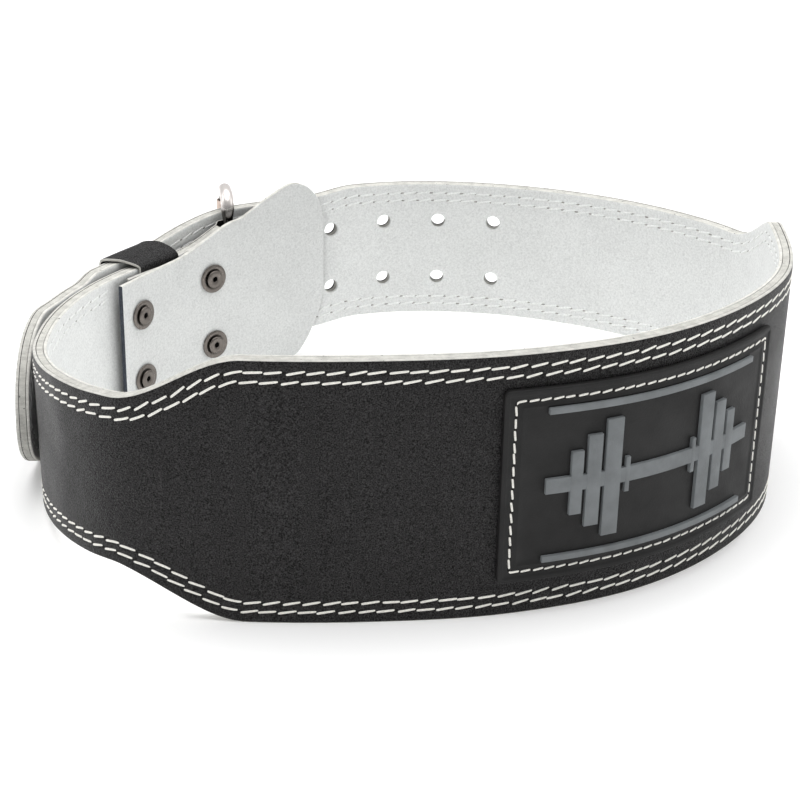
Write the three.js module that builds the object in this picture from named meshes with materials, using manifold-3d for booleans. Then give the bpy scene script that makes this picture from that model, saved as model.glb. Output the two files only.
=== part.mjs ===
// A four-inch lifting belt, fastened as a loop and standing on the lower edge of its wide back panel.
// Millimetres, +Z up, the panel towards -Y and the buckle at the back left.

import * as THREE from "three";
import { mergeVertices } from "three/addons/utils/BufferGeometryUtils.js";
import Module from "manifold-3d";

// Loop seen from above: the line half way through the strap's thickness, over its widest and deepest points
const loopWidth = 298;
const loopDepth = 264.4;

// Belt strip: three plies, black leather outside, a cream core and a suede lining
const panelHeight = 101.6;
const strapHeight = 65;
const leatherPly = 1.3;
const corePly = 2.5;
const liningPly = 1.3;
const plyGap = 0.25;
const fitGap = 0.3;
const tipTaper = 48;
const stationPitch = 10;

// Holes of the fastening strap
const holePairs = 9;
const pairsBeforeProngs = 5;
const holePitch = 26.8;
const holeRows = 28.5;
const holeWidth = 6.5;

// Buckle: a wire frame round two upright bars, a roller on the outer bar and two prongs on the heel bar
const wireRadius = 2.4;
const frameTop = 88.6;
const frameFoot = 3.4;
const frameCorner = 6;
const rollerReach = 7.2;
const rollerRadius = 3.5;
const rollerWall = 0.7;
const rollerSlack = 2.6;
const prongRadius = 1.9;
const prongEyeWall = 1.4;
const turnGap = 0.3;

// Chape: the strap's black ply turned round the heel bar and back along the lining
const chapeLow = 15.5;
const chapeReturn = 64;
const returnLow = 6;
const returnHigh = 63.5;

// Shield: the guard riveted inside the strap, behind the buckle
const shieldLength = 120.5;
const shieldHeight = 89.4;
const shieldPly = 2;
const shieldPastHeel = 48.3;

// Rivets: a row of two on each side of the keeper, nearer and farther from the heel bar
const rivetNear = { past: 13.9, low: 19.8, high: 52.1 };
const rivetFar = { past: 58.5, low: 15.6, high: 46 };
const rivetRows = [rivetNear, rivetFar];
const rivetShank = 2;
const rivetHead = 6;
const rivetHeadHigh = 1;
const rivetCollar = 4.1;
const washerRadius = 6.7;
const washerPly = 0.8;

// Keeper: a band from between the two straps, under and outside the fastening strap, over both straps and down
// between the lining and the chape's return. past: distance of each leg's middle past the heel bar.
const keeperPly = 1.4;
const keeperBetween = { past: 39.5, width: 22 };
const keeperOutside = { past: 50.6, width: 24 };
const keeperInside = { past: 42.1, width: 23.8 };
const keeperLegs = [keeperBetween, keeperOutside, keeperInside];

// Label patch and the raised figure on it
const patchLength = 123.5;
const patchHeight = 75;
const patchPly = 2;
const patchCorner = 4;
const patchMiddle = 51.6;
const reliefPly = 0.9;
const barbellLength = 92;
const barbellHeight = 46;
const ruleLength = 92;
const ruleHeight = 2.4;
const ruleRise = 29;

// Curve of the loop from the heel bar round the left end, the front and the right end: across and deep are
// shares of half the loop's width and half its depth
const loopPlan = [
  { across: -0.563, deep: 0.728 },
  { across: -0.769, deep: 0.52 },
  { across: -0.914, deep: 0.277 },
  { across: -0.99, deep: 0.005 },
  { across: -0.993, deep: -0.283 },
  { across: -0.928, deep: -0.557 },
  { across: -0.824, deep: -0.792 },
  { across: -0.68, deep: -0.949 },
  { across: -0.445, deep: -0.996 },
  { across: -0.132, deep: -0.99 },
  { across: 0.21, deep: -0.935 },
  { across: 0.531, deep: -0.795 },
  { across: 0.779, deep: -0.564 },
  { across: 0.944, deep: -0.265 },
  { across: 0.996, deep: 0.1 },
  { across: 0.975, deep: 0.434 },
  { across: 0.81, deep: 0.679 },
  { across: 0.559, deep: 0.87 },
  { across: 0.267, deep: 0.979 },
  { across: -0.029, deep: 0.993 },
  { across: -0.309, deep: 0.893 },
];

// How the strip lies along the loop. at: share of the loop's length from the heel bar, over 1 where the strip
// laps itself. rise: share of the height at which the narrow strap runs on from the middle of the panel, which
// the strap loses where it sags to the floor. lift: share of the keeper's bottom under the strap. lap and slack:
// how far the strip lies outside its own first turn, as shares of its thickness and of the keeper's.
const stripLay = [
  { at: 0, rise: 0.58, lift: 0, lap: 0, slack: 0 },
  { at: 0.004, rise: 0.54, lift: 0, lap: 0, slack: 0 },
  { at: 0.0107, rise: 0.41, lift: 0, lap: 0, slack: 0 },
  { at: 0.0196, rise: 0.21, lift: 0, lap: 0, slack: 0 },
  { at: 0.028, rise: 0.07, lift: 0, lap: 0, slack: 0 },
  { at: 0.038, rise: 0, lift: 0, lap: 0, slack: 0 },
  { at: 0.122, rise: 0, lift: 0, lap: 0, slack: 0 },
  { at: 0.159, rise: 0.03, lift: 0, lap: 0, slack: 0 },
  { at: 0.192, rise: 0.22, lift: 0, lap: 0, slack: 0 },
  { at: 0.22, rise: 0.47, lift: 0, lap: 0, slack: 0 },
  { at: 0.24, rise: 0.68, lift: 0, lap: 0, slack: 0 },
  { at: 0.262, rise: 0.86, lift: 0, lap: 0, slack: 0 },
  { at: 0.284, rise: 1, lift: 0, lap: 0, slack: 0 },
  { at: 0.93, rise: 1, lift: 0, lap: 0, slack: 0 },
  { at: 0.956, rise: 0.82, lift: 0, lap: 0.12, slack: 0 },
  { at: 0.972, rise: 0.79, lift: 0, lap: 0.35, slack: 0 },
  { at: 0.986, rise: 0.77, lift: 0, lap: 0.65, slack: 0.15 },
  { at: 1, rise: 0.73, lift: 0, lap: 0.92, slack: 0.6 },
  { at: 1.012, rise: 0.62, lift: 0.2, lap: 1, slack: 1 },
  { at: 1.033, rise: 0.28, lift: 1, lap: 1, slack: 1 },
  { at: 1.052, rise: 0.05, lift: 1, lap: 1, slack: 1 },
  { at: 1.082, rise: 0, lift: 1, lap: 1, slack: 1 },
  { at: 1.098, rise: 0, lift: 0, lap: 1, slack: 0.3 },
  { at: 1.117, rise: 0, lift: 0, lap: 1, slack: 0.4 },
  { at: 1.134, rise: 0, lift: 0, lap: 1, slack: 1.3 },
  { at: 1.183, rise: 0, lift: 0, lap: 1, slack: 1.5 },
];
// Ends of the strip's parts, as shares of the loop's length
const heelAt = 0.004;
const panelFrom = 0.281;
const panelTo = 0.717;
const panelTaper = 0.054;
const patchAt = 0.5026;
const tipAt = 1.1835;

// Shield outline and set. at: share of its length from the free end. low and high: shares of its height.
// stand: 0 seated on the chape's return, 1 just clear of the heel bar's fold, more where it leans out to the
// fastening strap.
const shieldForm = [
  { at: 0, low: 0.39, high: 0.8, stand: 3.3 },
  { at: 0.012, low: 0.31, high: 0.87, stand: 3.3 },
  { at: 0.038, low: 0.22, high: 0.93, stand: 3.2 },
  { at: 0.075, low: 0.12, high: 0.976, stand: 3.1 },
  { at: 0.13, low: 0.04, high: 1, stand: 2.8 },
  { at: 0.23, low: 0.02, high: 0.955, stand: 1.95 },
  { at: 0.33, low: 0.02, high: 0.89, stand: 1.08 },
  { at: 0.37, low: 0.02, high: 0.866, stand: 1 },
  { at: 0.4, low: 0.02, high: 0.859, stand: 1 },
  { at: 0.435, low: 0.02, high: 0.85, stand: 0.72 },
  { at: 0.46, low: 0.02, high: 0.84, stand: 0.32 },
  { at: 0.485, low: 0.02, high: 0.827, stand: 0 },
  { at: 0.52, low: 0.02, high: 0.806, stand: 0 },
  { at: 0.62, low: 0.02, high: 0.754, stand: 0 },
  { at: 0.705, low: 0.01, high: 0.728, stand: 0 },
  { at: 1, low: 0.01, high: 0.705, stand: 0 },
];

// Keeper band seen along the strap, from its end between the straps. out: -1 inside the lining, 0 between the
// straps, 1 outside the fastening strap. up: 0 at its foot, 1 at the strap's height, 2 at its crown. leg: 0, 1
// or 2 on its legs between the straps, outside and inside, and between these where it passes under and over.
const keeperForm = [
  { out: 0, up: 0.32, leg: 0 },
  { out: 0, up: 0.2, leg: 0 },
  { out: 0, up: 0.1, leg: 0 },
  { out: 0, up: 0.04, leg: 0 },
  { out: 0.03, up: 0.008, leg: 0.03 },
  { out: 0.15, up: 0, leg: 0.15 },
  { out: 0.5, up: 0, leg: 0.5 },
  { out: 0.85, up: 0, leg: 0.85 },
  { out: 0.97, up: 0.008, leg: 0.97 },
  { out: 1, up: 0.04, leg: 1 },
  { out: 1, up: 0.12, leg: 1 },
  { out: 1, up: 0.4, leg: 1 },
  { out: 1, up: 0.75, leg: 1 },
  { out: 1, up: 0.93, leg: 1 },
  { out: 1.01, up: 1.35, leg: 1 },
  { out: 1, up: 1.68, leg: 1.02 },
  { out: 0.95, up: 1.9, leg: 1.05 },
  { out: 0.85, up: 2, leg: 1.1 },
  { out: 0.62, up: 2.06, leg: 1.2 },
  { out: 0.29, up: 2.04, leg: 1.36 },
  { out: 0.02, up: 1.98, leg: 1.5 },
  { out: -0.25, up: 1.84, leg: 1.62 },
  { out: -0.5, up: 1.66, leg: 1.75 },
  { out: -0.75, up: 1.46, leg: 1.87 },
  { out: -0.9, up: 1.3, leg: 1.95 },
  { out: -0.985, up: 1.12, leg: 2 },
  { out: -1, up: 0.985, leg: 2 },
  { out: -1, up: 0.9, leg: 2 },
  { out: -1, up: 0.6, leg: 2 },
  { out: -1, up: 0.3, leg: 2 },
  { out: -1, up: 0.14, leg: 2 },
];

// Half of the barbell, mirrored. to: share of half its length. half: share of half its height.
const barbellForm = [
  { to: 0.3, half: 0.11 },
  { to: 0.34, half: 0.3 },
  { to: 0.38, half: 0.11 },
  { to: 0.52, half: 1 },
  { to: 0.55, half: 0.16 },
  { to: 0.67, half: 0.78 },
  { to: 0.7, half: 0.16 },
  { to: 0.8, half: 0.54 },
  { to: 1, half: 0.16 },
];

const thickness = leatherPly + corePly + liningPly + 2 * plyGap;
const halfThickness = thickness / 2;
const strapRise = (panelHeight - strapHeight) / 2;
const wasm = await Module();
wasm.setup();

// Value of a column at a place, eased between the rows of a table and never past them
function along(table, column, at) {
  const last = table.length - 1;
  if (at <= table[0].at) return table[0][column];
  if (at >= table[last].at) return table[last][column];
  const i = table.findIndex((row) => row.at > at) - 1;
  const slope = (k) => (table[k + 1][column] - table[k][column]) / (table[k + 1].at - table[k].at);
  const ease = (k) => {
    if (k === 0 || k === last) return 0;
    const before = slope(k - 1);
    const after = slope(k);
    return before * after <= 0 ? 0 : (2 * before * after) / (before + after);
  };
  const span = table[i + 1].at - table[i].at;
  const t = (at - table[i].at) / span;
  const from = table[i][column];
  const to = table[i + 1][column];
  return (
    from * (1 + 2 * t) * (1 - t) ** 2 +
    to * t * t * (3 - 2 * t) +
    span * t * (1 - t) * (ease(i) * (1 - t) - ease(i + 1) * t)
  );
}

// The loop as a closed curve, sampled finely enough to be measured by length
const loopCurve = new THREE.CatmullRomCurve3(
  loopPlan.map((p) => new THREE.Vector3((p.across * loopWidth) / 2, (p.deep * loopDepth) / 2, 0)),
  true,
  "catmullrom",
  0.5,
);
loopCurve.arcLengthDivisions = 2100;
const loopLength = loopCurve.getLength();

// Point, direction and outward normal at a distance along the loop, counted from the heel bar's place
function onLoop(distance) {
  const turn = (((distance / loopLength) % 1) + 1) % 1;
  const u = loopCurve.getUtoTmapping(turn, 0);
  const point = loopCurve.getPoint(u);
  const tangent = loopCurve.getTangent(u);
  return { point, tangent, outward: new THREE.Vector3(tangent.y, -tangent.x, 0) };
}

function place(distance, out, z) {
  const { point, outward } = onLoop(distance);
  return point.addScaledVector(outward, out).setZ(z);
}

// Smooth share from 0 to 1 between two distances
function ramp(distance, from, to) {
  return THREE.MathUtils.smoothstep(distance, from, to);
}

// How far the strip's middle lies outside the loop curve, and its two edges, at a distance along the strip
function stripOut(distance) {
  const at = distance / loopLength;
  return (
    along(stripLay, "lap", at) * (thickness + fitGap) + along(stripLay, "slack", at) * (keeperPly + fitGap)
  );
}

function stripEdges(distance) {
  const at = distance / loopLength;
  const taper = panelTaper * loopLength;
  const from = panelFrom * loopLength;
  const to = panelTo * loopLength;
  const wide = ramp(distance, from, from + taper) * (1 - ramp(distance, to - taper, to));
  const height = THREE.MathUtils.lerp(strapHeight, panelHeight, wide);
  const sag = strapRise * along(stripLay, "rise", at) + (keeperPly + 2 * fitGap) * along(stripLay, "lift", at);
  const low = (1 - wide) * sag;
  const end = tipAt * loopLength;
  const run = THREE.MathUtils.clamp((distance - end + tipTaper) / tipTaper, 0, 1);
  const half = (height / 2) * (1 - run ** 1.7) ** 0.7;
  const middle = low + height / 2;
  return { low: middle - half, high: middle + half, middle };
}

// Closed solid from a ring of four corners at each station: inner low, outer low, outer high, inner high
function wall(stations) {
  const positions = [];
  for (const s of stations) {
    for (const [side, z] of [[s.inner, s.low], [s.outer, s.low], [s.outer, s.high], [s.inner, s.high]]) {
      positions.push(side.x, side.y, z);
    }
  }
  const index = [0, 2, 1, 0, 3, 2];
  for (let i = 0; i + 1 < stations.length; i += 1) {
    for (let k = 0; k < 4; k += 1) {
      const a = 4 * i + k;
      const b = 4 * i + ((k + 1) % 4);
      index.push(a, b, a + 4, b, b + 4, a + 4);
    }
  }
  const e = 4 * (stations.length - 1);
  index.push(e, e + 1, e + 2, e, e + 2, e + 3);
  return indexed(positions, index);
}

function indexed(positions, index) {
  const geometry = new THREE.BufferGeometry();
  geometry.setAttribute("position", new THREE.Float32BufferAttribute(positions, 3));
  geometry.setIndex(index);
  return geometry;
}

// Stations of a ply between two faces, given as distances out from a line beside the loop
function plyStations(distances, out, inner, outer, edges) {
  return distances.map((d) => {
    const { low, high } = edges(d);
    return { inner: place(d, out(d) + inner, 0), outer: place(d, out(d) + outer, 0), low, high };
  });
}

// Distances from one place to another, evenly and about a pitch apart
function steps(from, to, pitch = stationPitch) {
  const count = Math.max(1, Math.round(Math.abs(to - from) / pitch));
  return Array.from({ length: count + 1 }, (_, i) => from + ((to - from) * i) / count);
}

// Solid for cutting and joining, from any closed geometry
function solid(geometry, matrix) {
  const bare = geometry.clone();
  bare.deleteAttribute("normal");
  bare.deleteAttribute("uv");
  if (matrix) bare.applyMatrix4(matrix);
  const merged = mergeVertices(bare, 1e-4);
  const corners = merged.index.array;
  const kept = [];
  for (let i = 0; i < corners.length; i += 3) {
    const [a, b, c] = [corners[i], corners[i + 1], corners[i + 2]];
    if (a !== b && b !== c && a !== c) kept.push(a, b, c);
  }
  return new wasm.Manifold(
    new wasm.Mesh({
      numProp: 3,
      vertProperties: new Float32Array(merged.attributes.position.array),
      triVerts: new Uint32Array(kept),
    }),
  );
}

function geometryOf(manifold) {
  const mesh = manifold.getMesh();
  return indexed(Array.from(mesh.vertProperties), Array.from(mesh.triVerts));
}

// Same solid with its faces turned outwards, whichever way its corners were listed
function outwards(geometry) {
  const p = geometry.attributes.position;
  const index = Array.from(geometry.index.array);
  const [a, b, c] = [new THREE.Vector3(), new THREE.Vector3(), new THREE.Vector3()];
  let volume = 0;
  for (let i = 0; i < index.length; i += 3) {
    a.fromBufferAttribute(p, index[i]);
    b.fromBufferAttribute(p, index[i + 1]);
    c.fromBufferAttribute(p, index[i + 2]);
    volume += a.dot(b.cross(c));
  }
  if (volume < 0) {
    for (let i = 0; i < index.length; i += 3) [index[i], index[i + 1]] = [index[i + 1], index[i]];
    geometry.setIndex(index);
  }
  return geometry;
}

// Frame whose +Y axis points outwards from the loop and whose +Z axis is up, for turned pieces on the strap
function outwardFrame(distance, out, z) {
  const { outward } = onLoop(distance);
  const up = new THREE.Vector3(0, 0, 1);
  const side = new THREE.Vector3().crossVectors(outward, up);
  return new THREE.Matrix4().makeBasis(side, outward, up).setPosition(place(distance, out, z));
}

// Plain round cutter across the strap
function cutter(distance, out, z, radius, length, sides) {
  return solid(outwards(indexedFrom(new THREE.CylinderGeometry(radius, radius, length, sides))),
    outwardFrame(distance, out, z));
}

function indexedFrom(geometry) {
  const bare = geometry.clone();
  bare.deleteAttribute("normal");
  bare.deleteAttribute("uv");
  return mergeVertices(bare, 1e-4);
}

function turned(profile, sides) {
  return outwards(indexedFrom(new THREE.LatheGeometry(profile.map(([r, y]) => new THREE.Vector2(r, y)), sides)));
}

// Places of the buckle's two bars in plan: the heel bar lies in the chape, the roller outside the strap
const heelDistance = heelAt * loopLength;
const foldRadius = wireRadius + turnGap + leatherPly / 2;
const heelOut = halfThickness - leatherPly / 2 - foldRadius;
const rollerDistance = heelDistance - rollerReach;
const rollerOut = stripOut(rollerDistance + loopLength) + halfThickness + rollerSlack + rollerRadius;
const heel = place(heelDistance, heelOut, 0);
const roller = place(rollerDistance, rollerOut, 0);
const frameSpan = heel.distanceTo(roller);
const frameReach = roller.clone().sub(heel).normalize();

// Prong line: from the heel bar's middle to where it rests on the roller's far side, and a little on
const prongRest = rollerRadius + prongRadius + fitGap;
const frameFace = new THREE.Vector3(-frameReach.y, frameReach.x, 0);
if (frameFace.dot(onLoop(heelDistance).tangent) < 0) frameFace.negate();
const prongLean = Math.asin(prongRest / frameSpan);
const prongReach = frameReach.clone().multiplyScalar(Math.cos(prongLean));
prongReach.addScaledVector(frameFace, Math.sin(prongLean));
const prongLength = frameSpan * Math.cos(prongLean) + rollerRadius / 2;

// Distance along the fastening strap at which the prong line crosses its middle
function prongCrossing() {
  const far = (d) => {
    const gap = place(d, stripOut(d + loopLength), 0).sub(heel);
    return gap.addScaledVector(prongReach, -gap.dot(prongReach)).length();
  };
  const tries = steps(rollerDistance, heelDistance, 0.1);
  return loopLength + tries.reduce((best, d) => (far(d) < far(best) ? d : best));
}

// Distances of the hole pairs, a pitch apart along the fastening strap itself
function holeDistances() {
  const middle = (d) => place(d, stripOut(d), 0);
  const walk = (from, length) => {
    const stride = Math.sign(length) * 0.5;
    let [d, left] = [from, Math.abs(length)];
    while (left > 0) {
      left -= middle(d).distanceTo(middle(d + stride));
      d += stride;
    }
    return d;
  };
  return Array.from({ length: holePairs }, (_, i) => walk(prongCrossing(), (i - pairsBeforeProngs) * holePitch));
}

const stripStart = heelDistance + foldRadius + leatherPly;
const stripEnd = tipAt * loopLength;
const holes = holeDistances();
const rivets = rivetRows.flatMap((row) => [
  { distance: heelDistance + row.past, z: row.low },
  { distance: heelDistance + row.past, z: row.high },
]);

// Cutters of the fastening holes and the rivet shanks, long enough for the plies that they pass
function strapCutters() {
  const reach = 3 * thickness;
  const fastening = holes.flatMap((d) => {
    const { middle } = stripEdges(d);
    const rows = [middle - holeRows / 2, middle + holeRows / 2];
    return rows.map((z) => cutter(d, stripOut(d), z, holeWidth / 2, thickness + 2, 8));
  });
  const shanks = rivets.map((r) => cutter(r.distance, 0, r.z, rivetShank + fitGap, reach, 8));
  return [...fastening, ...shanks];
}

// Strip distances: even, but closer together where the tip rounds off
function stripDistances() {
  return [
    ...steps(stripStart, stripEnd - tipTaper),
    ...steps(stripEnd - tipTaper, stripEnd - 4, 7).slice(1),
    stripEnd - 1.2,
    stripEnd,
  ];
}

function stripPly(inner, outer) {
  const edges = (d) => (d >= stripEnd ? tipEdge() : stripEdges(d));
  return plyStations(stripDistances(), stripOut, inner, outer, edges);
}

// Blunt end of the tip
function tipEdge() {
  const { low, high } = stripEdges(stripEnd - 0.3);
  return { low, high };
}

// Core and lining: two plies of the strip that start beside the heel bar
function corePiece() {
  const inner = -halfThickness + liningPly + plyGap;
  return cutAll(wall(stripPly(inner, inner + corePly)), strapCutters());
}

function liningPiece() {
  return cutAll(wall(stripPly(-halfThickness, -halfThickness + liningPly)), strapCutters());
}

function cutAll(geometry, cutters) {
  let body = solid(outwards(geometry));
  for (const tool of cutters) body = body.subtract(tool);
  return geometryOf(body);
}

// Black ply: from the end of the chape's return, round the heel bar, then along the whole strip
function leatherPiece() {
  const seat = halfThickness + keeperPly + 2 * fitGap + leatherPly / 2;
  const foldOut = heelOut - foldRadius;
  const returnOut = (d) => -seat + (foldOut + seat) * (1 - ramp(d, heelDistance, heelDistance + 9));
  const half = leatherPly / 2;
  const chape = { low: chapeLow, high: stripEdges(heelDistance).high };
  const returnEdges = (d) => {
    const open = ramp(d, heelDistance + 3, heelDistance + 11);
    const [low, high] = [THREE.MathUtils.lerp(chapeLow, returnLow, open), THREE.MathUtils.lerp(chape.high, returnHigh, open)];
    return { low, high };
  };
  const back = steps(heelDistance + chapeReturn, heelDistance + 11, 9)
    .concat(steps(heelDistance + 11, heelDistance, 4).slice(1));
  const returned = plyStations(back, returnOut, half, -half, returnEdges);
  const { tangent, outward } = onLoop(heelDistance);
  const turns = [150, 120, 90, 60, 30];
  const folded = turns.map((degrees) => {
    const a = THREE.MathUtils.degToRad(degrees);
    const away = outward.clone().multiplyScalar(Math.cos(a)).addScaledVector(tangent, -Math.sin(a));
    const at = (r) => heel.clone().addScaledVector(away, r);
    return { inner: at(foldRadius - half), outer: at(foldRadius + half), ...chape };
  });
  const top = halfThickness - leatherPly;
  const flat = plyStations([heelDistance, stripStart - 1], () => 0, top, halfThickness, () => chape);
  const strip = stripPly(top, halfThickness);
  const body = wall([...returned, ...folded, ...flat, ...strip]);
  const slots = prongHeights().map((z) => {
    const slot = new THREE.BoxGeometry(4 * foldRadius, 3 * foldRadius, 2 * (prongRadius + 1.6));
    const middle = place(heelDistance - foldRadius, heelOut, z);
    const turn = new THREE.Matrix4().makeRotationZ(Math.atan2(tangent.y, tangent.x));
    return solid(slot, turn.setPosition(middle));
  });
  return cutAll(body, [...strapCutters(), ...slots]);
}

function prongHeights() {
  const { middle } = stripEdges(holes[pairsBeforeProngs]);
  return [middle - holeRows / 2, middle + holeRows / 2];
}

// Set of the shield's middle at a distance from the heel bar's place
function shieldOut(distance) {
  const seat = -(halfThickness + keeperPly + leatherPly + shieldPly / 2 + 3 * fitGap);
  const clearOfHeel = heelOut - (foldRadius + leatherPly / 2) - fitGap - shieldPly / 2;
  const at = (distance - heelDistance + shieldPastHeel) / shieldLength;
  return seat + (clearOfHeel - seat) * along(shieldForm, "stand", at);
}

function shieldPiece() {
  const start = heelDistance - shieldPastHeel;
  const shares = [0, 0.012, 0.038, 0.075, 0.13, 0.18, 0.23, 0.28, 0.33, 0.37, 0.4, 0.435, 0.46, 0.485, 0.52,
    0.57, 0.62, 0.705, 0.78, 0.85, 0.92, 1];
  const stations = shares.map((at) => {
    const d = start + at * shieldLength;
    return {
      inner: place(d, shieldOut(d) - shieldPly / 2, 0),
      outer: place(d, shieldOut(d) + shieldPly / 2, 0),
      low: along(shieldForm, "low", at) * shieldHeight,
      high: along(shieldForm, "high", at) * shieldHeight,
    };
  });
  const shanks = rivets.map((r) =>
    cutter(r.distance, shieldOut(r.distance), r.z, rivetShank + fitGap, 3 * shieldPly, 8));
  return cutAll(wall(stations), shanks);
}

// Deepest reach of the shield's inner face under a washer, so that the washer lies flat on it
function washerSeat(distance) {
  const under = steps(distance - washerRadius, distance + washerRadius, 1).map((d) => {
    const { outward, point } = onLoop(distance);
    return place(d, shieldOut(d) - shieldPly / 2, 0).sub(point).dot(outward);
  });
  return Math.min(...under) - fitGap;
}

// Washer, and a rivet through all plies with a collar rolled over it: both turned about the rivet's axis
function washerPiece() {
  const bore = rivetShank + fitGap;
  return turned([[bore, 0], [washerRadius - 0.4, 0], [washerRadius, -0.3], [washerRadius - 0.3, -washerPly],
    [bore, -washerPly], [bore, 0]], 16);
}

function rivetPiece(seat) {
  const foot = seat - washerPly - fitGap;
  const head = halfThickness + fitGap;
  const eye = rivetShank * 0.6;
  return turned([[0, foot + 0.3], [eye, foot + 0.3], [eye, foot - 0.7], [eye + 0.5, foot - 1],
    [rivetCollar - 0.9, foot - 1], [rivetCollar, foot - 0.4], [rivetCollar, foot], [rivetShank, foot],
    [rivetShank, head], [rivetHead, head], [rivetHead, head + 0.4], [rivetHead - 1.4, head + rivetHeadHigh],
    [0, head + rivetHeadHigh]], 12);
}

// Band swept along the keeper's form and across its width, its crown following the strap's upper edge
function keeperPiece() {
  const between = halfThickness + fitGap + keeperPly / 2;
  const outside = between + stripOut(heelDistance + keeperLegs[1].past + loopLength);
  const foot = fitGap + keeperPly / 2;
  const form = new THREE.CatmullRomCurve3(
    keeperForm.map(({ out, up, leg }) => new THREE.Vector3(out, up, leg)), false, "catmullrom", 0.5);
  const lerp = THREE.MathUtils.lerp;
  const legs = (column, at) => {
    const i = Math.min(Math.floor(at), keeperLegs.length - 2);
    return lerp(keeperLegs[i][column], keeperLegs[i + 1][column], at - i);
  };
  const middleOf = (side, share) => {
    const { x: out, y: up, z: leg } = form.getPoint(THREE.MathUtils.clamp(share, 0, 1));
    const at = THREE.MathUtils.clamp(leg, 0, 2);
    const distance = heelDistance + legs("past", at) + side * legs("width", at);
    const crown = stripEdges(distance + loopLength).high + 2 * fitGap + keeperPly / 2;
    const z = up < 1 ? lerp(foot, strapHeight, up) : lerp(strapHeight, crown, up - 1);
    return { distance, out: out < 0 ? lerp(between, -between, -out) : lerp(between, outside, out), z };
  };
  const last = 2 * (keeperForm.length - 1);
  const across = [-0.5, -0.25, 0, 0.25, 0.5];
  const positions = [];
  for (const side of across) {
    for (let i = 0; i <= last; i += 1) {
      const p = middleOf(side, i / last);
      const before = middleOf(side, (i - 0.2) / last);
      const after = middleOf(side, (i + 0.2) / last);
      const t = new THREE.Vector2(after.out - before.out, after.z - before.z).normalize();
      for (const half of [-keeperPly / 2, keeperPly / 2]) {
        const corner = place(p.distance, p.out - t.y * half, p.z + t.x * half);
        positions.push(corner.x, corner.y, corner.z);
      }
    }
  }
  const at = (row, i, layer) => (row * (last + 1) + i) * 2 + layer;
  const index = [];
  const quad = (a, b, c, d) => index.push(a, b, c, a, c, d);
  const rows = across.length - 1;
  for (let row = 0; row < rows; row += 1) {
    for (let i = 0; i < last; i += 1) {
      quad(at(row, i, 0), at(row, i + 1, 0), at(row + 1, i + 1, 0), at(row + 1, i, 0));
      quad(at(row, i, 1), at(row + 1, i, 1), at(row + 1, i + 1, 1), at(row, i + 1, 1));
    }
    quad(at(row, 0, 0), at(row + 1, 0, 0), at(row + 1, 0, 1), at(row, 0, 1));
    quad(at(row, last, 0), at(row, last, 1), at(row + 1, last, 1), at(row + 1, last, 0));
  }
  for (let i = 0; i < last; i += 1) {
    quad(at(0, i, 0), at(0, i, 1), at(0, i + 1, 1), at(0, i + 1, 0));
    quad(at(rows, i, 0), at(rows, i + 1, 0), at(rows, i + 1, 1), at(rows, i, 1));
  }
  return outwards(indexed(positions, index));
}

// Wire frame: a closed ring of two upright bars joined by rounded corners
function framePiece() {
  const path = [];
  const top = frameTop - wireRadius - frameCorner;
  const foot = frameFoot + wireRadius + frameCorner;
  const corner = (across, z, from) => steps(from, from + 90, 18).map((degrees) => {
    const a = THREE.MathUtils.degToRad(degrees);
    return { across: across + frameCorner * Math.cos(a), z: z + frameCorner * Math.sin(a), turn: a };
  });
  const far = frameSpan - frameCorner;
  path.push(...corner(far, top, 0), ...corner(frameCorner, top, 90));
  path.push(...corner(frameCorner, foot, 180), ...corner(far, foot, 270));
  const sides = 10;
  const positions = [];
  for (const p of path) {
    for (let k = 0; k < sides; k += 1) {
      const a = (2 * Math.PI * k) / sides;
      const swell = wireRadius * Math.cos(a);
      const point = heel.clone()
        .addScaledVector(frameReach, p.across + swell * Math.cos(p.turn))
        .addScaledVector(frameFace, wireRadius * Math.sin(a));
      positions.push(point.x, point.y, p.z + swell * Math.sin(p.turn));
    }
  }
  const index = [];
  for (let i = 0; i < path.length; i += 1) {
    for (let k = 0; k < sides; k += 1) {
      const a = i * sides + k;
      const b = i * sides + ((k + 1) % sides);
      const c = ((i + 1) % path.length) * sides + k;
      const d = ((i + 1) % path.length) * sides + ((k + 1) % sides);
      index.push(a, b, c, b, d, c);
    }
  }
  return outwards(indexed(positions, index));
}

function rollerPiece() {
  const low = frameFoot + wireRadius + frameCorner + turnGap;
  const high = frameTop - wireRadius - frameCorner - turnGap;
  const inner = rollerRadius - rollerWall;
  const tube = turned([[inner, low], [rollerRadius, low], [rollerRadius, high], [inner, high], [inner, low]], 18);
  return outwards(tube.rotateX(Math.PI / 2).translate(roller.x, roller.y, 0));
}

// Prong: an eye round the heel bar and a round bar through the strap's hole and past the roller
function prongPiece() {
  const bore = wireRadius + turnGap;
  const eyeRadius = bore + prongEyeWall;
  const eye = solid(outwards(indexedFrom(new THREE.CylinderGeometry(eyeRadius, eyeRadius, 2 * prongRadius, 16))),
    new THREE.Matrix4().makeRotationX(Math.PI / 2));
  const start = bore + prongEyeWall / 2;
  const body = turned([[0, start], [prongRadius, start], [prongRadius, prongLength - 1.6],
    [prongRadius * 0.75, prongLength - 0.5], [0, prongLength]], 12);
  const lean = new THREE.Matrix4().makeRotationZ(Math.atan2(-prongReach.x, prongReach.y));
  const shaft = solid(outwards(indexedFrom(body)), lean);
  const hole = solid(outwards(indexedFrom(new THREE.CylinderGeometry(bore, bore, 4 * prongRadius, 16))),
    new THREE.Matrix4().makeRotationX(Math.PI / 2));
  return geometryOf(eye.add(shaft).subtract(hole));
}

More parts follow.
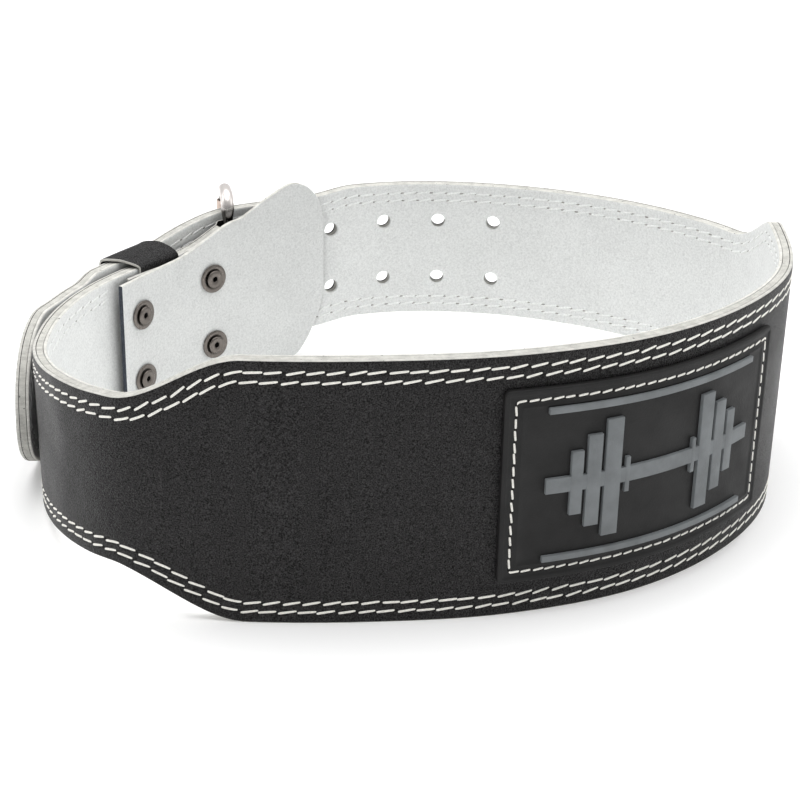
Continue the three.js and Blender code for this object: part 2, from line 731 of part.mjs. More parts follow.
// Label patch: a slab on the panel with rounded corners
function patchPiece() {
  const middle = patchAt * loopLength;
  const half = patchLength / 2;
  const inner = halfThickness + fitGap;
  const stations = roundedRun(middle, half, patchCorner).map(({ d, cut }) => ({
    inner: place(d, inner, 0),
    outer: place(d, inner + patchPly, 0),
    low: patchMiddle - patchHeight / 2 + cut,
    high: patchMiddle + patchHeight / 2 - cut,
  }));
  return outwards(wall(stations));
}

// Distances along a slab with round corners, each with how much the corner cuts off its height there
function roundedRun(middle, half, radius) {
  const bends = [0, 30, 60, 90].map((degrees) => THREE.MathUtils.degToRad(degrees));
  const start = bends.map((a) => ({ d: middle - half + radius * (1 - Math.cos(a)), cut: radius * (1 - Math.sin(a)) }));
  const end = bends.map((a) => ({ d: middle + half - radius * (1 - Math.cos(a)), cut: radius * (1 - Math.sin(a)) }));
  const between = steps(middle - half + radius, middle + half - radius).slice(1, -1).map((d) => ({ d, cut: 0 }));
  return [...start, ...between, ...end.toReversed()];
}

// Relief on the patch: stepped outlines swept along it, symmetrical about a height
function reliefPiece(outline, length, height, z) {
  const inner = halfThickness + patchPly + 2 * fitGap;
  const middle = patchAt * loopLength;
  const edge = 0.15;
  const half = [];
  let from = 0;
  for (const row of outline) {
    const to = (row.to * length) / 2;
    const run = steps(from, to - edge, 8).map((d) => ({ d, h: (row.half * height) / 2 }));
    half.push(...run);
    from = to;
  }
  const mirrored = half.toReversed().map((p) => ({ d: -p.d, h: p.h })).slice(0, -1);
  const stations = [...mirrored, ...half].map((p) => ({
    inner: place(middle + p.d, inner, 0),
    outer: place(middle + p.d, inner + reliefPly, 0),
    low: z - p.h,
    high: z + p.h,
  }));
  return outwards(wall(stations));
}

function finish(color, roughness, metalness) {
  return new THREE.MeshStandardMaterial({ color, roughness, metalness });
}

const finishes = {
  leather: finish(0x2f2d2e, 0.55, 0),
  core: finish(0xe8e4d8, 0.85, 0),
  suede: finish(0xd8d9d8, 0.95, 0),
  steel: finish(0xc8c6c2, 0.2, 1),
  gunmetal: finish(0x77706a, 0.35, 1),
  rubber: finish(0x3a3a3b, 0.6, 0),
  relief: finish(0x73787a, 0.6, 0),
};

const belt = new THREE.Group();

function add(name, geometry, material, matrix) {
  const mesh = new THREE.Mesh(geometry, material);
  mesh.name = name;
  if (matrix) mesh.applyMatrix4(matrix);
  belt.add(mesh);
}

add("outer_leather", leatherPiece(), finishes.leather);
add("core", corePiece(), finishes.core);
add("suede_lining", liningPiece(), finishes.suede);
add("buckle_shield", shieldPiece(), finishes.suede);
add("keeper_loop", keeperPiece(), finishes.leather);
add("buckle_frame", framePiece(), finishes.steel);
add("buckle_roller", rollerPiece(), finishes.steel);
["prong_lower", "prong_upper"].forEach((name, i) => {
  const at = new THREE.Matrix4().setPosition(heel.x, heel.y, prongHeights()[i]);
  add(name, prongPiece(), finishes.steel, at);
});
rivets.forEach((r, i) => {
  const seat = washerSeat(r.distance);
  add(`washer_${i + 1}`, washerPiece(), finishes.gunmetal, outwardFrame(r.distance, seat, r.z));
  add(`rivet_${i + 1}`, rivetPiece(seat), finishes.gunmetal, outwardFrame(r.distance, 0, r.z));
});
add("label_patch", patchPiece(), finishes.rubber);
add("emblem_barbell", reliefPiece(barbellForm, barbellLength, barbellHeight, patchMiddle), finishes.relief);
[["emblem_rule_lower", -1], ["emblem_rule_upper", 1]].forEach(([name, side]) => {
  const bar = reliefPiece([{ to: 1, half: 1 }], ruleLength, ruleHeight, patchMiddle + side * ruleRise);
  add(name, bar, finishes.relief);
});

// The origin is under the middle of the belt's own box
const bounds = new THREE.Box3().setFromObject(belt);
const middle = bounds.getCenter(new THREE.Vector3());
belt.position.set(-middle.x, -middle.y, -bounds.min.z);

export default belt;
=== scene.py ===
"""A fastened four-inch lifting belt dressed over its packed CAD model, laid out as a Blender add-on."""
import math

import bmesh
import bpy
import numpy as np
from bpy.props import FloatProperty, FloatVectorProperty, IntProperty, PointerProperty
from mathutils import Matrix, Vector


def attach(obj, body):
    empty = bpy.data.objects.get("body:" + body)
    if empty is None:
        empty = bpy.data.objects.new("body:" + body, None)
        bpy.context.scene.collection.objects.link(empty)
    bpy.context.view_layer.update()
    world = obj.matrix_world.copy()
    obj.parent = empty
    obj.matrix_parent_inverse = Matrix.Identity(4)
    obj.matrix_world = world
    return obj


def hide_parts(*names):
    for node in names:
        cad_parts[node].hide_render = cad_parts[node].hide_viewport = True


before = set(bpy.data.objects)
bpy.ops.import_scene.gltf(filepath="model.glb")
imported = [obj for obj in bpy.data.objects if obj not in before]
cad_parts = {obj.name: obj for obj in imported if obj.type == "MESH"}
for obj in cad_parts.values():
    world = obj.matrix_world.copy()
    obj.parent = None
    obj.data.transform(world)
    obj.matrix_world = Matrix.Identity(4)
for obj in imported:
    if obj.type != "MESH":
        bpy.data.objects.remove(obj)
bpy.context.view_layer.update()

bl_info = {
    "name": "Lifting Belt",
    "version": (1, 0, 0),
    "blender": (4, 5, 0),
    "location": "3D View > Sidebar > Belt",
    "description": "Builds a fastened lifting belt with its buckle, keeper, shield, rivets, patch and stitching",
    "category": "Add Mesh",
}

MM = 0.001

# Where the model's origin lies from the loop's own middle, seen from above
CENTRE_SHIFT = np.array((4.205, -0.048)) * MM

# Curve of the loop from the heel bar round the left end, the front and the right end:
# across and deep, as shares of half its width and half its depth
LOOP_PLAN = np.array((
    (-0.563, 0.728), (-0.769, 0.52), (-0.914, 0.277), (-0.99, 0.005), (-0.993, -0.283), (-0.928, -0.557),
    (-0.824, -0.792), (-0.68, -0.949), (-0.445, -0.996), (-0.132, -0.99), (0.21, -0.935), (0.531, -0.795),
    (0.779, -0.564), (0.944, -0.265), (0.996, 0.1), (0.975, 0.434), (0.81, 0.679), (0.559, 0.87),
    (0.267, 0.979), (-0.029, 0.993), (-0.309, 0.893),
))

# How the strip lies: place as a share of the loop's length, rise of the narrow strap, lift over the keeper's
# bottom, and how far the strip lies outside its own first turn in shares of its thickness and of the keeper's
STRIP_LAY = np.array((
    (0, 0.58, 0, 0, 0), (0.004, 0.54, 0, 0, 0), (0.0107, 0.41, 0, 0, 0), (0.0196, 0.21, 0, 0, 0),
    (0.028, 0.07, 0, 0, 0), (0.038, 0, 0, 0, 0), (0.122, 0, 0, 0, 0), (0.159, 0.03, 0, 0, 0),
    (0.192, 0.22, 0, 0, 0), (0.22, 0.47, 0, 0, 0),
    (0.24, 0.68, 0, 0, 0), (0.262, 0.86, 0, 0, 0), (0.284, 1, 0, 0, 0), (0.93, 1, 0, 0, 0),
    (0.956, 0.82, 0, 0.12, 0), (0.972, 0.79, 0, 0.35, 0), (0.986, 0.77, 0, 0.65, 0.15), (1, 0.73, 0, 0.92, 0.6),
    (1.012, 0.62, 0.2, 1, 1), (1.033, 0.28, 1, 1, 1), (1.052, 0.05, 1, 1, 1), (1.082, 0, 1, 1, 1),
    (1.098, 0, 0, 1, 0.3), (1.117, 0, 0, 1, 0.4), (1.134, 0, 0, 1, 1.3), (1.183, 0, 0, 1, 1.5),
))
HEEL_AT, PANEL_FROM, PANEL_TO, PANEL_TAPER, PATCH_AT, TIP_AT = 0.004, 0.281, 0.717, 0.054, 0.5026, 1.1835

# Shield outline and set: share of its length from the free end, low and high edge as shares of its height, and
# stand, which is 0 seated on the chape's return, 1 just clear of the heel bar's fold and more where it leans out
SHIELD_FORM = np.array((
    (0, 0.39, 0.8, 3.3), (0.012, 0.31, 0.87, 3.3), (0.038, 0.22, 0.93, 3.2), (0.075, 0.12, 0.976, 3.1),
    (0.13, 0.04, 1, 2.8), (0.23, 0.02, 0.955, 1.95), (0.33, 0.02, 0.89, 1.08), (0.37, 0.02, 0.866, 1),
    (0.4, 0.02, 0.859, 1), (0.435, 0.02, 0.85, 0.72), (0.46, 0.02, 0.84, 0.32), (0.485, 0.02, 0.827, 0),
    (0.52, 0.02, 0.806, 0), (0.62, 0.02, 0.754, 0), (0.705, 0.01, 0.728, 0), (1, 0.01, 0.705, 0),
))

# Keeper band seen along the strap from its end between the straps. out: -1 inside the lining, 0 between the
# straps, 1 outside the fastening strap. up: 0 at its foot, 1 at the strap's height, 2 at its crown. Last, the
# leg: 0, 1 or 2 between the straps, outside and inside, and between these where it passes under and over.
KEEPER_FORM = np.array((
    (0, 0.32, 0), (0, 0.2, 0), (0, 0.1, 0), (0, 0.04, 0), (0.03, 0.008, 0.03), (0.15, 0, 0.15), (0.5, 0, 0.5),
    (0.85, 0, 0.85), (0.97, 0.008, 0.97), (1, 0.04, 1), (1, 0.12, 1), (1, 0.4, 1), (1, 0.75, 1), (1, 0.93, 1),
    (1.01, 1.35, 1), (1, 1.68, 1.02), (0.95, 1.9, 1.05), (0.85, 2, 1.1), (0.62, 2.06, 1.2), (0.29, 2.04, 1.36),
    (0.02, 1.98, 1.5), (-0.25, 1.84, 1.62), (-0.5, 1.66, 1.75), (-0.75, 1.46, 1.87), (-0.9, 1.3, 1.95),
    (-0.985, 1.12, 2), (-1, 0.985, 2), (-1, 0.9, 2), (-1, 0.6, 2), (-1, 0.3, 2), (-1, 0.14, 2),
))

# Barbell on the patch: from and to as shares of half its length, and height as a share of the whole
BARBELL_FORM = ((0, 1, 0.13), (0.3, 0.34, 0.3), (0.38, 0.52, 1), (0.55, 0.67, 0.78), (0.7, 0.8, 0.54))

# Strip section rows from an edge inwards, in millimetres: inset from the edge and set below the face,
# with a shallow channel where each of the two stitch rows pulls the face in
STITCH_INSETS = (4.5, 8.1)
FACE_ROWS = (
    (0, 0.6), (0.1, 0.3), (0.32, 0.11), (0.75, 0.02), (1.5, 0), (3.6, 0), (4.1, 0.1), (4.5, 0.15), (4.9, 0.1),
    (5.4, 0), (7.3, 0), (7.8, 0.1), (8.2, 0.15), (8.6, 0.1), (9.1, 0), (12, 0),
)
FACE_SHARES = (0.1, 0.2, 0.3, 0.4, 0.5, 0.6, 0.7, 0.8, 0.9)
CORE_LAYERS = 7

# Rivet rows on each side of the keeper: distance past the heel bar and the two heights, in millimetres
RIVET_ROWS = ((13.9, 19.8, 52.1), (58.5, 15.6, 46))

# Section rows of a plain face, as above
PLAIN_ROWS = ((0, 0), (12, 0))

# Section of the patch's face: inset from its edge and set above its face, in millimetres
PATCH_FACE = (
    (0, -0.7), (0.08, -0.25), (0.3, -0.05), (0.7, 0), (1.6, 0), (1.9, -0.12), (2.2, -0.35), (3.2, -0.4), (3.8, -0.5),
    (4.2, -0.56), (4.6, -0.5), (5.2, -0.4), (6, -0.38), (6.4, -0.12), (6.8, -0.12), (7.2, -0.38),
    *((inset, -0.38) for inset in (9, 12, 15, 19, 23, 27, 31, 34, 37.3)),
)
PATCH_SHARPNESS = 0.6  # The moulded corner's radius as a share of the patch's own

RETURN_LOW, RETURN_HIGH = 6 * MM, 63.5 * MM  # Low and high edge of the leather's return on the lining
SETTLE_LENGTH = 14 * MM  # Length past the chape over which the strip's sections begin to lean with its edges
RELIEF_SUNK = 0.3 * MM  # How deep the raised figure stands in the patch
STITCH_LIFT, STITCH_SUNK = 0.78 * MM, 0.5 * MM  # Rise of a thread from its ends, and how deep these lie
MERGE_REACH = 2e-6  # Points closer than this become one

FLOOR_REACH = 6.0
CAMERA_PLACE, CAMERA_TILT, CAMERA_ROLL = (-0.00622, -0.67183, 0.32704), math.radians(66), 0.01714
CAMERA_LENS, CAMERA_SHIFT = 78.555, 10.451 / 800

# Lengths that a user may change, by their group: millimetres and what each one is
LENGTHS = {
    "strip": {
        "loop_width": (298, "Width of the fastened loop along the middle of the strap"),
        "loop_depth": (264.4, "Depth of the fastened loop along the middle of the strap"),
        "panel_height": (101.6, "Height of the wide back panel"),
        "strap_height": (65, "Height of the narrow strap"),
        "leather_ply": (1.3, "Thickness of the black ply"),
        "core_ply": (2.5, "Thickness of the cream core"),
        "lining_ply": (1.3, "Thickness of the suede lining"),
        "ply_gap": (0.25, "Gap kept between the plies"),
        "fit_gap": (0.3, "Gap kept between pieces"),
        "tip_taper": (48, "Length over which the tip rounds off"),
    },
    "holes": {
        "pitch": (26.8, "Distance between pairs along the strap"),
        "rows": (28.5, "Distance between the two rows of holes"),
        "width": (6.5, "Width of a hole"),
    },
    "buckle": {
        "wire_radius": (2.4, "Radius of the frame's wire"),
        "bow_swell": (0.6, "How much thicker the wire is where it passes over and under the straps"),
        "frame_top": (88.6, "Height of the frame's highest point"),
        "frame_foot": (3.4, "Height of the frame's lowest point"),
        "frame_corner": (6, "Radius of the frame's corners, along the wire's middle"),
        "roller_reach": (7.2, "Distance of the roller beyond the heel bar, along the loop"),
        "roller_radius": (3.5, "Radius of the roller"),
        "roller_wall": (0.7, "Wall of the roller's tube"),
        "roller_slack": (2.6, "Gap between the fastening strap and the roller"),
        "prong_radius": (1.9, "Radius of a prong"),
        "prong_eye_wall": (1.4, "Wall of a prong's eye round the heel bar"),
        "turn_gap": (0.3, "Gap round a bar that something turns on"),
        "chape_low": (15.5, "Height of the leather's low edge where it turns round the heel bar"),
        "chape_return": (64, "Length of the leather turned back along the lining"),
    },
    "shield": {
        "length": (120.5, "Length of the shield behind the buckle"),
        "height": (89.4, "Height of the shield at its highest"),
        "ply": (2, "Thickness of the shield"),
        "past_heel": (48.3, "Length of the shield beyond the heel bar"),
    },
    "rivets": {
        "shank": (2, "Radius of a rivet's shank"),
        "head": (6, "Radius of a rivet's outer head"),
        "head_high": (1, "Height of a rivet's outer head"),
        "collar": (4.1, "Radius of the collar rolled over the washer"),
        "washer_radius": (6.7, "Radius of a washer"),
        "washer_ply": (0.8, "Thickness of a washer"),
    },
    "keeper": {
        "ply": (1.4, "Thickness of the keeper's leather"),
        "between_past": (39.5, "Distance past the heel bar of the leg between the straps"),
        "between_width": (22, "Width of the leg between the straps"),
        "outer_past": (50.6, "Distance past the heel bar of the outer leg"),
        "outer_width": (24, "Width of the outer leg"),
        "inner_past": (42.1, "Distance past the heel bar of the leg inside the lining"),
        "inner_width": (23.8, "Width of the leg inside the lining"),
    },
    "patch": {
        "length": (123.5, "Length of the patch along the panel"),
        "height": (75, "Height of the patch"),
        "ply": (2, "Thickness of the patch"),
        "corner": (4, "Radius of the patch's corners"),
        "middle": (51.6, "Height of the patch's middle"),
        "relief_ply": (0.9, "How far the raised figure stands out"),
        "barbell_length": (92, "Length of the raised barbell"),
        "barbell_height": (46, "Height of the raised barbell"),
        "rule_length": (92, "Length of the raised rules"),
        "rule_height": (2.4, "Height of the raised rules"),
        "rule_rise": (29, "Distance of the rules above and below the middle"),
    },
    "stitches": {
        "pitch": (7, "Distance from one stitch to the next"),
        "length": (7.5, "Length of a stitch on the surface"),
        "thread": (1.0, "Width of the thread"),
        "slant": (1.1, "Sideways run of each stitch from end to end"),
        "patch_pitch": (4.6, "Distance between the stitches of the patch"),
        "patch_inset": (4.2, "Distance of the patch's stitches from its edge"),
    },
}

# Colours that a user may change, in linear light, and what each one covers
COLOURS = {
    "leather": ((0.0085, 0.008, 0.0082), "Grain leather of the strip, keeper and shield"),
    "suede": ((0.735, 0.745, 0.735), "Suede of the lining and the shield's inner side"),
    "core": ((0.6, 0.592, 0.555), "Cut edge of the core"),
    "dyed_edge": ((0.055, 0.062, 0.078), "Dark dye on the cut edge of the shield's riveted end"),
    "thread": ((0.95, 0.93, 0.87), "Thread of every stitch"),
    "steel": ((0.9, 0.85, 0.82), "Frame and prongs"),
    "roller": ((0.6, 0.49, 0.43), "Roller"),
    "gunmetal": ((0.16, 0.143, 0.13), "Rivets and washers"),
    "rubber": ((0.007, 0.0068, 0.0068), "Ground of the patch"),
    "relief": ((0.16, 0.172, 0.178), "Raised figure of the patch"),
    "floor": ((0.94, 0.94, 0.94), "Floor and backdrop"),
}


def plain(key):
    """A setting's name in plain words."""
    return key.replace("_", " ").capitalize()


def length_of(key, millimetres, description):
    """A length property with its default given in millimetres."""
    return FloatProperty(name=plain(key), description=description, default=millimetres * MM, unit="LENGTH",
                         subtype="DISTANCE", precision=4, min=0.0)


def colour_of(key, default, description):
    """A colour property in linear light."""
    return FloatVectorProperty(name=plain(key), description=description, default=default, size=3, min=0.0, max=1.0,
                               subtype="COLOR")


def settings_of(name, kind, rows, more=()):
    """The scene's name for a property group, and the group with a property for each row of its table."""
    properties = {key: kind(key, *row) for key, row in rows.items()} | dict(more)
    return f"belt_{name}", type(f"Belt{name.capitalize()}", (bpy.types.PropertyGroup,), {"__annotations__": properties})


PAIRS = {
    "pairs": IntProperty(name="Pairs", description="Number of pairs of holes", default=9, min=1, max=14),
    "pairs_before": IntProperty(name="Pairs before", description="Pairs of holes before the fastened one",
                                default=5, min=0, max=13),
}
SETTINGS = tuple(settings_of(name, length_of, rows, PAIRS if name == "holes" else ())
                 for name, rows in LENGTHS.items()) + (settings_of("colours", colour_of, COLOURS),)


def round_angles(count):
    """Even angles round a full turn."""
    return np.linspace(0, 2 * math.pi, count, endpoint=False)


def unit(rows):
    """Directions scaled to a length of 1."""
    return rows / np.linalg.norm(rows, axis=-1, keepdims=True)


def walked(points):
    """Lengths walked along a path at each of its points."""
    return np.concatenate(((0,), np.cumsum(np.linalg.norm(np.diff(points, axis=0), axis=1))))


def read_off(at, run, rows):
    """Rows of numbers read off at places along a run."""
    return np.stack([np.interp(at, run, column) for column in rows.T], -1)


def ramp(value, start, stop):
    """Smooth share from 0 to 1 between two values."""
    t = np.clip((value - start) / (stop - start), 0, 1)
    return t * t * (3 - 2 * t)


def along(table, column, at):
    """A column of a table at shares of its first column, eased between the rows and never past them."""
    x, y = table[:, 0], table[:, column]
    slope = np.diff(y) / np.diff(x)
    before, after = slope[:-1], slope[1:]
    turned = before * after <= 0
    ease = np.zeros(len(x))
    ease[1:-1] = np.where(turned, 0, 2 * before * after / np.where(turned, 1, before + after))
    at = np.clip(at, x[0], x[-1])
    i = np.clip(np.searchsorted(x, at, side="right") - 1, 0, len(x) - 2)
    span = x[i + 1] - x[i]
    t = (at - x[i]) / span
    return (y[i] * (1 + 2 * t) * (1 - t) ** 2 + y[i + 1] * t * t * (3 - 2 * t)
            + span * t * (1 - t) * (ease[i] * (1 - t) - ease[i + 1] * t))


def closed_curve(points, count):
    """Points and directions at even steps of a closed smooth curve through the given points."""
    u = np.arange(count) * len(points) / count
    i, t = u.astype(int), (u % 1)[:, None]
    return curve_between([np.take(points, i + k, axis=0, mode="wrap") for k in (-1, 0, 1, 2)], t)


def open_curve(points, each):
    """Points of a smooth curve through the given points, with an even number of steps between each two."""
    padded = np.vstack((2 * points[0] - points[1], points, 2 * points[-1] - points[-2]))
    u = np.linspace(0, len(points) - 1, each * (len(points) - 1) + 1)
    i = np.minimum(u.astype(int), len(points) - 2)
    return curve_between([padded[i + k] for k in range(4)], (u - i)[:, None])[0]


def curve_between(four, t):
    """Points and directions between the middle two of four points."""
    p0, p1, p2, p3 = four
    v1, v2 = (p2 - p0) / 2, (p3 - p1) / 2
    a, b = 2 * p1 - 2 * p2 + v1 + v2, 3 * p2 - 3 * p1 - 2 * v1 - v2
    return ((a * t + b) * t + v1) * t + p1, (3 * a * t + 2 * b) * t + v1


def steps(start, stop, pitch):
    """Even distances from one place to another, about a pitch apart."""
    return np.linspace(start, stop, max(1, round(abs(stop - start) / pitch)) + 1)


class Belt:
    """Where everything lies: the loop seen from above, the strip outside it and its edges, in metres."""

    def __init__(self, scene):
        self.strip, self.holes, self.buckle = scene.belt_strip, scene.belt_holes, scene.belt_buckle
        self.shield, self.rivet, self.keeper = scene.belt_shield, scene.belt_rivets, scene.belt_keeper
        self.patch, self.stitch, self.colours = scene.belt_patch, scene.belt_stitches, scene.belt_colours
        s, b = self.strip, self.buckle
        half_size = np.array((s.loop_width, s.loop_depth)) / 2
        points, directions = closed_curve(LOOP_PLAN * half_size, 4200)
        points, directions = np.vstack((points, points[:1])), np.vstack((directions, directions[:1]))
        self.points, self.directions, self.run = points, unit(directions), walked(points)
        self.length = self.run[-1]
        self.thickness = s.leather_ply + s.core_ply + s.lining_ply + 2 * s.ply_gap
        self.half = self.thickness / 2
        self.heel_distance = HEEL_AT * self.length
        self.fold_radius = b.wire_radius + b.turn_gap + s.leather_ply / 2
        self.heel_out = self.half - s.leather_ply / 2 - self.fold_radius
        roller_distance = self.heel_distance - b.roller_reach
        roller_out = self.strip_out(roller_distance + self.length) + self.half + b.roller_slack + b.roller_radius
        self.heel = self.place(self.heel_distance, self.heel_out, 0.0)
        self.roller = self.place(roller_distance, roller_out, 0.0)
        self.frame_span = float(np.linalg.norm(self.roller - self.heel))
        self.frame_reach = (self.roller - self.heel) / self.frame_span
        face = np.array((-self.frame_reach[1], self.frame_reach[0], 0))
        self.frame_face = face if face[:2] @ self.on_loop(self.heel_distance)[1] > 0 else -face
        rest = b.roller_radius + b.prong_radius + s.fit_gap
        lean = math.asin(rest / self.frame_span)
        self.prong_reach = self.frame_reach * math.cos(lean) + self.frame_face * math.sin(lean)
        self.prong_length = self.frame_span * math.cos(lean) + b.roller_radius / 2
        self.start = self.heel_distance + self.fold_radius + s.leather_ply
        self.end = TIP_AT * self.length
        self.hole_places = self.hole_distances(roller_distance)
        low, high = self.edges(self.hole_places[self.holes.pairs_before])
        self.prong_heights = [(low + high) / 2 + side * self.holes.rows / 2 for side in (-1, 1)]
        self.rivets = [(self.heel_distance + past * MM, z * MM) for past, *pair in RIVET_ROWS for z in pair]

    def on_loop(self, distance):
        """Point, direction and outward normal in plan at distances along the loop."""
        at = np.mod(distance, self.length)
        point, way = (read_off(at, self.run, rows) for rows in (self.points, self.directions))
        return point, way, np.stack((way[..., 1], -way[..., 0]), -1)

    def outward(self, distance):
        """Outward direction in the model's frame at distances along the loop."""
        flat = self.on_loop(distance)[2]
        return np.concatenate((flat, np.zeros((*flat.shape[:-1], 1))), -1)

    def place(self, distance, out, z):
        """Points in the model's frame from a distance along the loop, a distance out from it and a height."""
        distance, out, z = np.broadcast_arrays(distance, out, z)
        point, _, outward = self.on_loop(distance)
        return np.concatenate((point + outward * out[..., None] + CENTRE_SHIFT, z[..., None]), -1)

    def strip_out(self, distance):
        """How far the strip's middle lies outside the loop's curve."""
        at = distance / self.length
        s = self.strip
        return (along(STRIP_LAY, 3, at) * (self.thickness + s.fit_gap)
                + along(STRIP_LAY, 4, at) * (self.keeper.ply + s.fit_gap))

    def edges(self, distance):
        """Heights of the strip's low and high edge at distances along the strip."""
        s = self.strip
        at = distance / self.length
        taper, start, stop = (share * self.length for share in (PANEL_TAPER, PANEL_FROM, PANEL_TO))
        wide = ramp(distance, start, start + taper) * (1 - ramp(distance, stop - taper, stop))
        height = s.strap_height + (s.panel_height - s.strap_height) * wide
        low = (1 - wide) * ((s.panel_height - s.strap_height) / 2 * along(STRIP_LAY, 1, at)
                            + (self.keeper.ply + 2 * s.fit_gap) * along(STRIP_LAY, 2, at))
        run = np.clip((distance - self.end + s.tip_taper) / s.tip_taper, 0, 1)
        half = height / 2 * (1 - run ** 1.7) ** 0.7
        return low + height / 2 - half, low + height / 2 + half

    def inset(self, distance, edge, side, depth):
        """Distance and height of points inside one edge of the strip, at right angles to it.

        side is 1 for the low edge and -1 for the high edge. At the strip's tip the points lie along its middle.
        """
        way = unit(np.stack((np.gradient(distance), np.gradient(edge)), -1))
        inward = np.stack((-way[:, 1], way[:, 0]), -1) * side
        if distance[-1] >= self.end - 1e-9:
            inward[-1] = (-1, 0)
        return distance[:, None] + inward[:, :1] * depth, edge[:, None] + inward[:, 1:] * depth

    def strip_stations(self, pitch=3.2 * MM):
        """Distances along the strip, evenly apart along its outline, close together round the tip."""
        straight = steps(self.start, self.end - self.strip.tip_taper, pitch)
        near = self.end - self.strip.tip_taper * (1 - np.sin(np.linspace(0, math.pi / 2, 3000)))
        outline = walked(np.stack((near, self.edges(near)[0]), -1))
        count = int(outline[-1] / (1.5 * MM))
        return np.concatenate((straight, np.interp(np.linspace(0, 1, count) * outline[-1], outline, near)[1:]))

    def hole_distances(self, roller_distance):
        """Distances of the hole pairs, a pitch apart along the fastening strap itself."""
        near = self.length + steps(roller_distance, self.heel_distance, 0.05 * MM)
        apart = self.place(near, self.strip_out(near), 0.0) - self.heel
        along_prong = apart @ self.prong_reach
        miss = np.linalg.norm(apart - along_prong[:, None] * self.prong_reach, axis=1)
        crossing = near[np.argmin(miss)]
        fine = steps(self.start, self.end, 0.25 * MM)
        lengths = walked(self.place(fine, self.strip_out(fine), 0.0))
        order = np.arange(self.holes.pairs) - self.holes.pairs_before
        return np.interp(np.interp(crossing, fine, lengths) + order * self.holes.pitch, lengths, fine)

    def outward_frame(self, distance, out, z):
        """Matrix whose +Y axis points out of the loop and whose +Z axis is up."""
        outward = Vector(self.outward(distance))
        up = Vector((0, 0, 1))
        matrix = Matrix((outward.cross(up), outward, up)).transposed().to_4x4()
        matrix.translation = Vector(self.place(distance, out, z))
        return matrix

    def shield_out(self, distance):
        """Set of the shield's middle beside the loop's curve."""
        s, ply = self.strip, self.shield.ply
        seat = -(self.half + self.keeper.ply + s.leather_ply + ply / 2 + 3 * s.fit_gap)
        clear = self.heel_out - (self.fold_radius + s.leather_ply / 2) - s.fit_gap - ply / 2
        at = (distance - self.heel_distance + self.shield.past_heel) / self.shield.length
        return seat + (clear - seat) * along(SHIELD_FORM, 3, at)

    def washer_seat(self, distance):
        """Deepest reach of the shield's inner face under a washer."""
        near = steps(distance - self.rivet.washer_radius, distance + self.rivet.washer_radius, MM)
        point, _, outward = self.on_loop(distance)
        under = self.place(near, self.shield_out(near) - self.shield.ply / 2, 0.0)[:, :2] - CENTRE_SHIFT - point
        return float((under @ outward).min()) - self.strip.fit_gap


# Meshes


def swept(rings, closed=False):
    """Points and faces of a solid swept through rings of points, with its two ends closed."""
    count, corners = rings.shape[:2]
    here = np.arange(count if closed else count - 1)[:, None] * corners
    there = (here + corners) % (count * corners)
    i = np.arange(corners)
    j = np.roll(i, -1)
    faces = np.stack((here + i, there + i, there + j, here + j), -1).reshape(-1, 4).tolist()
    if not closed:
        faces += [i[::-1].tolist(), (i + (count - 1) * corners).tolist()]
    return rings.reshape(-1, 3), faces


def turned(profile, sides=48):
    """Points and faces of a solid turned about +Y from pairs of radius and height, open ends on the axis."""
    angle = round_angles(sides)
    radius, height = np.array(profile, float).T
    rings = (np.outer(np.cos(angle), radius), np.broadcast_to(height, (sides, len(height))),
             np.outer(np.sin(angle), radius))
    return swept(np.stack(rings, -1), closed=True)


def moved(part, matrix):
    """A part's points carried by a matrix, and its faces."""
    m = np.array(matrix)
    return part[0] @ m[:3, :3].T + m[:3, 3], part[1]


def joined(parts):
    """One list of points and faces from several."""
    points, faces, at = [], [], 0
    for part_points, part_faces in parts:
        points.append(part_points)
        faces += [[at + corner for corner in face] for face in part_faces]
        at += len(part_points)
    return np.concatenate(points), faces


def mesh_of(name, part, merged=True, finishes=(), finish_of=None, values=None):
    """A mesh from points and faces, with doubles merged unless told not to, and its faces turned out."""
    mesh = bpy.data.meshes.new(name)
    mesh.from_pydata(part[0].tolist(), [], part[1])
    for finish in finishes:
        mesh.materials.append(finish)
    if finish_of is not None:
        mesh.polygons.foreach_set("material_index", np.asarray(finish_of, np.int32))
    for key, numbers in (values or {}).items():
        kept = mesh.attributes.new(key, "FLOAT", "POINT")
        kept.data.foreach_set("value", np.asarray(numbers, np.float32).ravel())
    work = bmesh.new()
    work.from_mesh(mesh)
    if merged:
        bmesh.ops.remove_doubles(work, verts=work.verts, dist=MERGE_REACH)
        bmesh.ops.dissolve_degenerate(work, edges=work.edges, dist=MERGE_REACH / 20)
    bmesh.ops.recalc_face_normals(work, faces=work.faces)
    work.to_mesh(mesh)
    work.free()
    return mesh


def linked(name, data):
    """An object in the scene's own collection."""
    made = bpy.data.objects.new(name, data)
    bpy.context.scene.collection.objects.link(made)
    return made


def piece(belt, name, part, finishes, node=None, slot=None, sharp=38, cuts=(), add=None, choose=None, **more):
    """An object from points and faces, smooth but for edges over the sharp angle, on the root body.

    finishes are names; the first covers it, unless choose gives each face's own from the face, or more lists them
    as finish_of. cuts are parts taken out of it and add is one joined on. With a node, it replaces that.
    """
    mesh = mesh_of(name, part, finishes=[finish_named(n, belt.colours) for n in finishes], **more)
    for polygon in mesh.polygons if choose else ():
        polygon.material_index = choose(polygon)
    shade(mesh, sharp)
    made = linked(name, mesh)
    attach(made, "root")
    if cuts or add:
        boolean(made, add or joined(cuts), "UNION" if add else "DIFFERENCE", sharp)
    if node:
        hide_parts(node)


def shade(mesh, sharp):
    """Smooth shading, with hard edges where faces meet at more than an angle."""
    mesh.shade_smooth()
    if sharp:
        mesh.set_sharp_from_angle(angle=math.radians(sharp))


